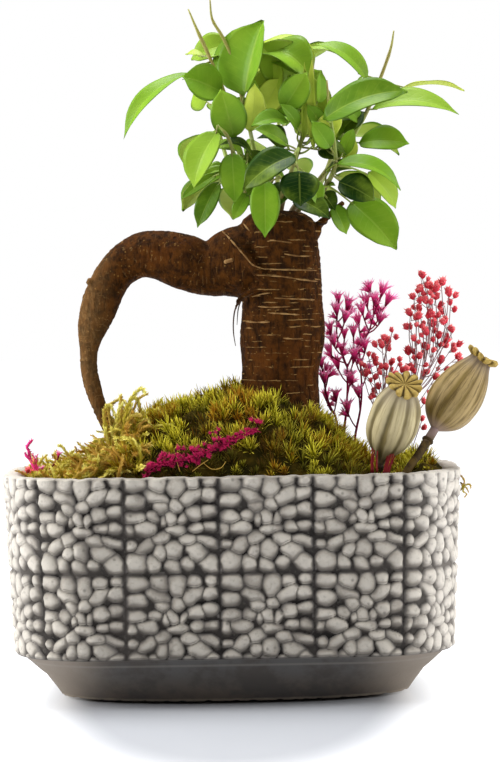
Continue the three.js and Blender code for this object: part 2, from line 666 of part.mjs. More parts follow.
const MAGENTA = {
  magenta_left: {
    stems: [[[54, 15, 135, 1.1], [51, 15, 143, 0.9], [48.5, 15, 151, 0.8], [47.5, 15.5, 161, 0.6]]],
    calyces: [[48, 13, 158], [46.5, 18, 166], [50.5, 16.5, 162.5], [54, 16, 150], [49, 20, 149]],
  },
  magenta_middle: {
    stems: [
      [[58, 22, 129.5, 1.3], [59, 22, 139, 1.1], [60, 22, 152, 1], [60, 22, 165, 0.9]],
      [[60, 22, 163, 0.9], [57, 21, 172, 0.8], [55, 21, 179, 0.8], [55, 21, 191, 0.6]],
      [[60, 22, 163, 0.9], [65, 24, 173, 0.9], [71, 25, 180, 0.8], [74, 25, 189, 0.8], [78, 26, 200, 0.6]],
    ],
    calyces: [
      [55, 20, 193], [59.5, 18, 189], [51.5, 23, 184], [59, 25, 181], [53, 17, 177], [57.5, 27, 173],
      [51, 21.5, 172.5], [61.5, 26, 158], [79, 26, 202], [82, 29, 197], [74.5, 22, 199], [70.5, 27, 197],
      [77, 31, 190], [66, 27, 187], [78, 22, 188], [63.5, 20, 182], [69, 29, 178],
    ],
  },
  magenta_right: {
    stems: [[
      [63, 13, 126, 1.2], [66, 13, 141, 1], [67, 13, 152, 0.9], [66.5, 13, 164, 0.8], [66, 12, 172, 0.6],
    ]],
    calyces: [
      [69, 12, 175], [63.5, 11, 170], [61.5, 13, 158], [65, 9, 151], [70.5, 14, 163], [59.5, 11, 143],
    ],
  },
  magenta_sprig_left: {
    stems: [[[-94, -12, 118.5, 0.9], [-96, -10, 123, 0.8], [-96.5, -9, 129, 0.6]]],
    calyces: [[-96, -8, 131.5], [-100, -8, 126], [-91.5, -11, 125]],
  },
  magenta_sprig_laid: {
    stems: [[
      [-41, -54, 119, 1], [-31, -52.5, 122.5, 1], [-20, -52, 125, 1], [-10, -50.5, 128.5, 0.9],
      [1, -48, 132, 0.8], [11, -45.5, 136, 0.6],
    ]],
    calyces: [
      [-35, -56, 123], [-29, -52, 128], [-24, -56, 124], [-18, -52, 131], [-13, -55, 128], [-7, -51, 135],
      [-3, -53, 131], [3, -49, 138.5], [9, -48, 142],
    ],
  },
};
const CORAL = {
  coral_left: {
    stems: [[
      [80, 4, 118, 1], [79, 3, 128, 0.9], [77.5, 2, 142, 0.8], [77.5, 2, 156, 0.7], [79, 2, 170, 0.5],
    ]],
    pods: [
      [86, 2, 168], [89, -1, 162], [82, 6, 166], [74, 4, 166], [70.5, 0, 171], [77, 0, 175], [82, 1, 183],
      [83, -2, 160], [73.5, -2, 159], [72, 0, 150], [69, 3, 161], [84.5, 5, 152],
    ],
  },
  coral_right: {
    stems: [
      [
        [86, 12, 119.5, 1.2], [88, 12, 131, 1.1], [94, 12, 149, 1], [99, 12, 163, 0.8], [102, 12, 178, 0.7],
        [103, 12, 196, 0.5],
      ],
      [[94, 12, 149, 0.8], [95, 9, 166, 0.7], [95, 9, 184, 0.5]],
      [[95, 12, 152, 0.8], [104, 15, 166, 0.7], [111, 15, 182, 0.5], [110, 14, 194, 0.5]],
    ],
    pods: [
      [99, 10, 210], [94, 9, 200], [109, 12, 206], [103, 15, 204], [100, 8, 197], [97, 14, 193],
      [112, 13, 201], [108, 19, 193], [107, 12, 190], [91.5, 9, 191], [99, 16, 185], [104.5, 18, 185],
      [100, 8, 181], [107, 15, 179], [114, 16, 182], [91, 12, 180], [114.5, 14, 174], [104, 9, 172],
      [117, 18, 168], [91, 12, 171], [96.5, 6, 169], [98.5, 14, 160], [108, 18, 166], [102, 16, 150],
      [98, 14, 137],
    ],
  },
  coral_sprig_left: {
    stems: [[[-101, -14, 113.5, 0.9], [-101, -14, 118, 0.7]]],
    pods: [[-104.5, -13, 119], [-101, -17, 121], [-97.5, -14, 120], [-102.5, -11.5, 120.5]],
  },
};
const CALYX_LOBES = 5;
const CALYX_REACH = 4.4;
const CALYX_THROAT = 1.7;
const CALYX_FLARE = 2.5;
const CALYX_NOTCH = 0.5;
const CALYX_DEPTH = 1.5;
const POD_RADIUS = 2.6;
const TWIG_RADIUS = 0.5;
const TWIG_DROP = 3.5;

function nearestOnStems(stems, target) {
  const lower = V(target.x, target.y, target.z - TWIG_DROP);
  const found = stems.map((stem) => nearestOn(stem, lower));
  return found.reduce((best, next) => (next.distanceTo(lower) < best.distanceTo(lower) ? next : best));
}

function framed(middle, along) {
  const side = squareTo(along, V(0, 0, 1), V(1, 0, 0));
  const across = along.clone().cross(side);
  return (height, reach, angle) => middle.clone().addScaledVector(along, height)
    .addScaledVector(side, reach * Math.cos(angle)).addScaledVector(across, reach * Math.sin(angle));
}

// A papery funnel with five pointed lobes, growing straight out of the stem at its root.
function calyxSolid(root, middle) {
  const along = middle.clone().sub(root).normalize().add(V(0, 0, 0.25)).normalize();
  const at = framed(middle, along);
  const corners = 2 * CALYX_LOBES;
  const points = [root];
  for (let i = 0; i < corners; i += 1) {
    const angle = (2 * Math.PI * i) / corners;
    points.push(i % 2 === 0 ? at(CALYX_FLARE, CALYX_REACH, angle) : at(CALYX_NOTCH, CALYX_THROAT, angle));
  }
  const throat = points.push(at(-CALYX_DEPTH, 0, 0)) - 1;
  const triangles = [];
  for (let i = 0; i < corners; i += 1) {
    const a = 1 + i;
    const b = 1 + ((i + 1) % corners);
    triangles.push([0, b, a], [throat, a, b]);
  }
  return toSolid(points, triangles);
}

// The stems of a spray. The main one goes on straight down into the soil.
function stemSolids(stems) {
  return stems.map((stem, i) => {
    const [x, y, , r] = stem[0];
    const path = i === 0 ? [[x, y, PEG_BOTTOM, r], ...stem] : stem;
    return sweep(path, TWIG_SIDES, path.length - 1);
  });
}

function calyxSpray({ stems, calyces }) {
  const calyxSolids = calyces.map((place) => calyxSolid(nearestOnStems(stems, V(...place)), V(...place)));
  return union([...stemSolids(stems), ...calyxSolids]);
}

// A pod on its twig in one skin, from a root inside the stem.
function podSolid(root, middle) {
  const along = middle.clone().sub(root).normalize();
  const at = framed(middle, along);
  const reach = middle.distanceTo(root);
  const heights = [-reach, -POD_RADIUS, 0, POD_RADIUS];
  const radii = [TWIG_RADIUS, TWIG_RADIUS, POD_RADIUS, TWIG_RADIUS];
  const turns = Array.from({ length: TWIG_SIDES }, (_, i) => (2 * Math.PI * i) / TWIG_SIDES);
  const rings = heights.map((height, k) => turns.map((angle) => at(height, radii[k], angle)));
  const { points, triangles } = skin(rings);
  return toSolid(points, triangles);
}

function podSpray({ stems, pods }) {
  const podSolids = pods.map((place) => podSolid(nearestOnStems(stems, V(...place)), V(...place)));
  return union([...stemSolids(stems), ...podSolids]);
}

const sprays = [
  ...Object.entries(MAGENTA).map(([name, spray]) => (
    { name, stems: spray.stems, tips: spray.calyces, finish: 'magenta', solid: calyxSpray(spray) }
  )),
  ...Object.entries(CORAL).map(([name, spray]) => (
    { name, stems: spray.stems, tips: spray.pods, finish: 'coral', solid: podSpray(spray) }
  )),
];

// Dried poppy heads on their stalks.

const POPPIES = {
  poppy_front: {
    stalk: [[75.5, -28, 117, 1.8], [75.6, -28.2, 118, 1.8]],
    foot: [75.5, -28, 117],
    crown: [86, -43, 154.5],
    radius: 12.8,
    crownRadius: 9.2,
  },
  poppy_right: {
    stalk: [[93.5, -25, 121, 2], [98, -24, 129, 2.7], [99.5, -24, 132, 2]],
    foot: [99, -24, 131],
    crown: [125.5, -22, 168.5],
    radius: 14.2,
    crownRadius: 8.4,
  },
};
// Share of the height and of the radius up the capsule.
const CAPSULE_SHAPE = [[0, 0.14], [0.11, 0.55], [0.32, 0.93], [0.55, 1], [0.77, 0.78], [0.96, 0.36]];
const CAPSULE_SIDES = 14;
const CROWN_RAYS = 10;

function poppySolid({ stalk, foot, crown, radius, crownRadius }) {
  const from = V(...foot);
  const axis = V(...crown).sub(from);
  const height = axis.length();
  axis.normalize();
  const side = V(0, 1, 0).cross(axis).normalize();
  const across = axis.clone().cross(side);
  const ringAt = (h, radii) => radii.map((r, i) => {
    const angle = (2 * Math.PI * i) / radii.length;
    const p = from.clone().addScaledVector(axis, h);
    return p.addScaledVector(side, r * Math.cos(angle)).addScaledVector(across, r * Math.sin(angle));
  });
  const capsule = skin(CAPSULE_SHAPE.map(([h, w]) => {
    const radii = Array.from({ length: CAPSULE_SIDES }, (_, i) => radius * w * (i % 2 === 0 ? 1 : 0.93));
    return ringAt(h * height, radii);
  }));
  const rays = (outer, inner) => {
    const corners = Array.from({ length: 2 * CROWN_RAYS });
    return corners.map((_, i) => (i % 2 === 0 ? outer : inner));
  };
  const disc = skin([
    ringAt(height - 2.6, rays(crownRadius * 0.6, crownRadius * 0.5)),
    ringAt(height, rays(crownRadius, crownRadius * 0.76)),
  ]);
  return union([
    toSolid(capsule.points, capsule.triangles),
    toSolid(disc.points, disc.triangles),
    sweep([[stalk[0][0], stalk[0][1], PEG_BOTTOM, stalk[0][3]], ...stalk], HOLE_SIDES, stalk.length),
  ]);
}

// Soil and moss, with plain holes for everything that stands in them.

function cavityInset(z) {
  return WALL + (BAND_TAPER * (LIP_Z - z)) / (LIP_Z - CAVITY_KNEE_Z);
}

function soilSolid() {
  const oval = [FLOOR_HALF_LENGTH - 2 * FIT_GAP, FLOOR_HALF_WIDTH - 2 * FIT_GAP];
  const loops = [
    plainLoop(FLOOR_Z + FIT_GAP, cavityInset(CAVITY_KNEE_Z) + FIT_GAP, 1, ...oval),
    plainLoop(CAVITY_KNEE_Z + FIT_GAP, cavityInset(CAVITY_KNEE_Z) + 2 * FIT_GAP, 0, ...oval),
    plainLoop(SOIL_TOP, cavityInset(SOIL_TOP) + FIT_GAP, 0, ...oval),
  ];
  const { points, triangles } = skin(loops.map((loop) => loop.map(({ p }) => p)));
  return toSolid(points, triangles);
}

// Height of the mound along its ridge: x, then z.
const MOSS_RIDGE = [
  [-108, 108], [-99, 111.5], [-87, 121], [-64, 135], [-41, 144], [-23, 151], [5, 157], [25, 155], [36, 149],
  [50, 136], [60, 126], [68, 116], [74, 113], [91, 117], [96, 121], [104, 116], [108, 110],
];
const MOSS_EDGE = 109;
const MOSS_RINGS = [1, 0.94, 0.8, 0.62, 0.4, 0.18];
const MOSS_SPRIGS = 50;
const SPRIG_CLEARANCE = 10;
const SPRIG_RADIUS = 2.6;
const SPRIG_ROOT = 3;

function ridgeHeight(x) {
  for (let i = 0; i + 1 < MOSS_RIDGE.length; i += 1) {
    const [x0, z0] = MOSS_RIDGE[i];
    const [x1, z1] = MOSS_RIDGE[i + 1];
    if (x <= x1) return z0 + ((z1 - z0) * Math.max(0, x - x0)) / (x1 - x0);
  }
  return MOSS_RIDGE[MOSS_RIDGE.length - 1][1];
}

function mossHeight(x, y) {
  const reach = Math.min(1, Math.abs(y) / (POT_WIDTH / 2 - WALL));
  const edge = Math.min(MOSS_EDGE, ridgeHeight(x));
  const rise = ridgeHeight(x) - edge;
  const lumps = 1.6 * Math.sin(0.31 * x + 0.4) * Math.cos(0.27 * y) + 1.2 * Math.sin(0.53 * y + 0.17 * x);
  return edge + rise * (1 - reach ** 2.6) + lumps * (1 - reach ** 4);
}

function mossSolid(tips) {
  const random = seeded(41);
  const inset = cavityInset(SOIL_TOP) + FIT_GAP;
  const base = plainLoop(SOIL_TOP + FIT_GAP, inset, 0, 1, 1).map(({ p }) => p);
  const rings = [base];
  MOSS_RINGS.forEach((share) => {
    rings.push(base.map((p) => {
      const wobble = share < 1 ? 2 * (random() - 0.5) : 0;
      const x = p.x * share;
      const y = p.y * share;
      return V(x, y, mossHeight(x, y) + wobble);
    }));
  });
  const { points, triangles } = skin(rings);
  const solids = [toSolid(points, triangles)];
  for (let i = 0; i < MOSS_SPRIGS; i += 1) {
    const share = 0.93 * Math.sqrt(random());
    const start = base[Math.floor(random() * base.length)];
    const x = start.x * share;
    const y = start.y * share;
    const z = mossHeight(x, y);
    const lean = 0.9 * (random() - 0.5);
    const length = 6 + 5 * random();
    const nose = [x + length * (lean + x / 260), y + length * (0.9 * (random() - 0.5) + y / 130), z + length];
    if (tips.some((tip) => tip.distanceTo(V(...nose)) < SPRIG_CLEARANCE)) continue;
    const foot = [0, 1, 2].map((k) => {
      const angle = (2 * Math.PI * k) / 3 + i;
      return V(x + SPRIG_RADIUS * Math.cos(angle), y + SPRIG_RADIUS * Math.sin(angle), z - SPRIG_ROOT);
    });
    solids.push(toSolid([...foot, V(...nose)], [[0, 2, 1], [0, 1, 3], [1, 2, 3], [2, 0, 3]]));
  }
  return union(solids);
}

// Plain hole for an upright stem, from under its foot to the open air.
function pegRoom([x, y, , r]) {
  const wide = r + 2 * FIT_GAP;
  return sweep([[x, y, PEG_BOTTOM - FIT_GAP, wide], [x, y, ROOM_TOP, wide]], HOLE_SIDES, 1);
}

const poppies = Object.entries(POPPIES).map(([name, poppy]) => ({ name, poppy, solid: poppySolid(poppy) }));
const rooms = union([
  growthRoom(TRUNK_PATH.slice(0, 6), TRUNK_ROOM),
  growthRoom(ARCH_PATH.slice(-8), ROOT_ROOM),
  ...sprays.map(({ stems }) => pegRoom(stems[0][0])),
  ...poppies.map(({ poppy }) => pegRoom(poppy.stalk[0])),
]);
const tips = [
  ...sprays.flatMap((spray) => [...spray.tips, ...spray.stems.flat()]),
  ...poppies.map(({ poppy }) => poppy.foot),
].map(([x, y, z]) => V(x, y, z));
addMesh('soil', largestBody(soilSolid().subtract(rooms)), 'soil');
addMesh('moss', largestBody(mossSolid(tips).subtract(rooms)), 'moss');
sprays.forEach(({ name, finish, solid }) => addMesh(name, solid, finish));
poppies.forEach(({ name, solid }) => addMesh(name, solid, 'poppy'));

export default part;
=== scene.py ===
"""A ficus bonsai with a stout trunk and an arching aerial root, in an oblong pebble-relief pot."""

import math
import random

import bpy
import numpy as np
from mathutils import Matrix, Vector, noise
from mathutils.bvhtree import BVHTree


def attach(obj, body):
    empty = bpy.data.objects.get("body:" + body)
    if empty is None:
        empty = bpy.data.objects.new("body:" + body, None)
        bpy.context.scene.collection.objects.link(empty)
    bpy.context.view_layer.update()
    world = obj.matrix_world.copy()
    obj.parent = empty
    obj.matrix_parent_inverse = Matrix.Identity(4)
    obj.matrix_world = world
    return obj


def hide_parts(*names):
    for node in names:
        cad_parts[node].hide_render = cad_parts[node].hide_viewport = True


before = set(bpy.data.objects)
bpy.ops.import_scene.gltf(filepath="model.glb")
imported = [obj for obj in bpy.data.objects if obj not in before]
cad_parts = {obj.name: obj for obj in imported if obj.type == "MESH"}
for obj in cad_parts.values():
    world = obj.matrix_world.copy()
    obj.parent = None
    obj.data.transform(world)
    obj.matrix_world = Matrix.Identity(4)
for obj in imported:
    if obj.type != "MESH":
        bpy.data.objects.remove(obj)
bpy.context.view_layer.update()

# Sizes and places are in millimetres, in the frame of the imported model, and MM turns them to metres.

MM = 0.001

# Camera, fitted to the rim, the foot and the tile seams of the photographed pot.

CAMERA_PLACE = (9.96, -1535.4, 213.3)
CAMERA_PITCH = 2.076
CAMERA_ROLL = 0.984
LENS = 218.3
SENSOR = 36.0

# Studio, in metres: the floor, the oval round the pot beyond which the table glows white, and the light
# of the white studio from the sides and from overhead, weaker from the front.

FLOOR_REACH = 6.0
TABLE_REACH = (0.088, 0.26, 1.0)
TABLE_GLOW = (0.0, 0.85)
STUDIO_WHITE = (0.03, 0.82)
FRONT_SHADE = 0.64
LAMP_SIZE = 0.8

# Pot. The band is a rounded rectangle that narrows downwards, over a plain oval foot.

POT_LENGTH = 230.0
POT_WIDTH = 134.0
POT_HEIGHT = 114.0
CORNER_RADIUS = 48.0
BAND_BOTTOM = 24.0
BAND_TAPER = 4.4
WALL = 8.5
RELIEF = 2.7
TILE_HEIGHT = 48.5
TILE_SEAM_Z = 66.4
TILES_AROUND = 14
TILE_PHASE = -6.5
FRONT_TILES = (-3, 3)
FRONT_STEPS = 86
BACK_STEPS = 34
BAND_ROWS = 150
FOOT_HALF_LENGTH = 88.0
FOOT_HALF_WIDTH = 45.0
FOOT_POWER = 2.5
FOOT_GAP = 1.5
FOOT_RECESS = 9.0
CLOSING_OVAL = (1, 0.5)
FLOOR_HALF_LENGTH = 79.0
FLOOR_HALF_WIDTH = 37.0
FLOOR_Z = 12.0
CAVITY_KNEE_Z = 27.0
PERIMETER = 2 * (POT_LENGTH + POT_WIDTH - 4 * CORNER_RADIUS) + 2 * math.pi * CORNER_RADIUS
TILE_WIDTH = PERIMETER / TILES_AROUND

# Pebbles of one flower tile of 47 by 50: place, half length, half width and turn in degrees.

TILE_UNITS = (47.0, 50.0)
PEBBLE_GROWTH = 1.24
PEBBLE_REACH = 11
PEBBLE_SQUARENESS = 2.2
DOME_ROUNDNESS = 0.6
CREASE_WIDTH = 0.17
CREASE_DEPTH = 0.42
ROW_GROOVE = 0.95
COLUMN_GROOVE = 1.15
PEBBLES = [
    (5.5, 45.8, 5.4, 3.8, -10), (16.8, 45.5, 4.7, 4.2, 90), (26.1, 44.2, 5.6, 3.9, 90),
    (34.3, 46.0, 3.3, 3.2, 0), (43.1, 46.6, 3.0, 2.6, 0), (5.2, 36.8, 5.2, 3.3, 0),
    (16.3, 39.1, 5.8, 3.1, -30), (18.5, 34.1, 3.8, 3.1, -70), (26.1, 34.6, 3.2, 3.1, 0),
    (33.6, 39.1, 5.8, 3.3, 35), (42.3, 40.0, 4.0, 3.2, 10), (5.0, 28.8, 5.0, 2.8, 0),
    (14.5, 29.0, 3.2, 2.8, -20), (19.9, 27.0, 2.8, 1.7, 80), (23.6, 28.1, 3.8, 2.6, -65),
    (29.0, 27.7, 3.1, 1.8, 75), (34.7, 30.6, 4.0, 3.3, 5), (42.5, 31.9, 4.0, 2.9, 5),
    (2.8, 22.5, 2.7, 2.8, 0), (10.6, 23.0, 4.9, 3.3, -5), (25.9, 22.1, 5.0, 2.4, 0),
    (35.8, 23.4, 3.3, 2.4, 0), (42.5, 23.7, 3.8, 2.4, 0), (18.1, 18.1, 4.2, 3.1, 25),
    (10.6, 14.1, 5.3, 2.9, 38), (3.5, 14.5, 2.7, 2.2, 0), (31.8, 17.2, 4.4, 2.9, -10),
    (41.8, 16.1, 6.0, 2.3, -18), (36.5, 10.9, 5.8, 4.0, -35), (24.7, 11.8, 4.7, 3.8, 90),
    (17.6, 10.9, 3.8, 2.9, 70), (5.7, 5.6, 5.1, 4.9, 45), (14.5, 5.1, 4.2, 3.1, -75),
    (23.6, 3.8, 4.2, 3.3, -60), (31.4, 5.1, 3.2, 2.8, -30), (42.5, 5.1, 5.8, 4.0, -40),
]

# Trunk with its arching root, as x, y, z and radius along each limb.

TRUNK_AXIS_X = 25.5
TRUNK_PATH = [
    (24, 0, 84, 18), (25, 0, 112, 22), (25, 0, 140, 20.6), (25.2, 0, 160, 19.6), (26, 0, 180, 21.4),
    (26.2, 0, 198, 20.4), (26, 0, 220, 21), (25.4, 0, 232, 20), (25, 0, 239, 17.5), (25, 0, 243.5, 11),
]
ARCH_PATH = [
    (24, 0, 213, 15), (6, 0, 217.5, 18.6), (-10.8, -1, 214.3, 13.4), (-22.4, -1, 218, 13.9),
    (-34.5, 0, 221.7, 12.4), (-45.1, 1, 221.6, 11.2), (-54.8, 2, 216, 9.8), (-61.6, 2, 207.5, 9.4),
    (-66.3, 1, 196, 9.3), (-69.6, 0, 185.9, 7.4), (-71.3, -1, 175.8, 5), (-71.5, -2, 166.2, 4.3),
    (-69.6, -3, 156.5, 4), (-66.7, -4, 147.3, 3.7), (-62.9, -5, 138.1, 3.4), (-59, -6, 130, 3.2),
    (-55, -7, 118, 3.3), (-50, -8, 100, 3.6), (-46, -9, 84, 2.4),
]
RIDGE_PATH = [
    (1, -14.5, 229.5, 1.6), (6, -18.2, 224.5, 1.9), (11, -20, 217.5, 2.0), (16, -20.6, 210.5, 1.8),
    (24, -21, 206.5, 1.0),
]
LOWER_ROOT_PATH = [
    (26, -20.8, 205.5, 0.9), (16, -20.4, 204.4, 1.2), (9, -17.6, 202.2, 1.3), (4.5, -13.6, 198.6, 1.1),
    (3.4, -11, 194, 0.7),
]
SPUR_PATH = [(38, -2, 227, 3.4), (44.5, -2, 231, 2.2), (47, -2, 234, 1.2)]
STUB_PATH = [(40, -1, 231, 2.6), (49.5, -1, 239, 1.7), (59, 0, 247.6, 1.3)]
KNOB_PATH = [(-66, -3, 208, 2.4), (-71.5, -4.5, 210, 1.9)]
TRUNK_VOXEL = 1.0
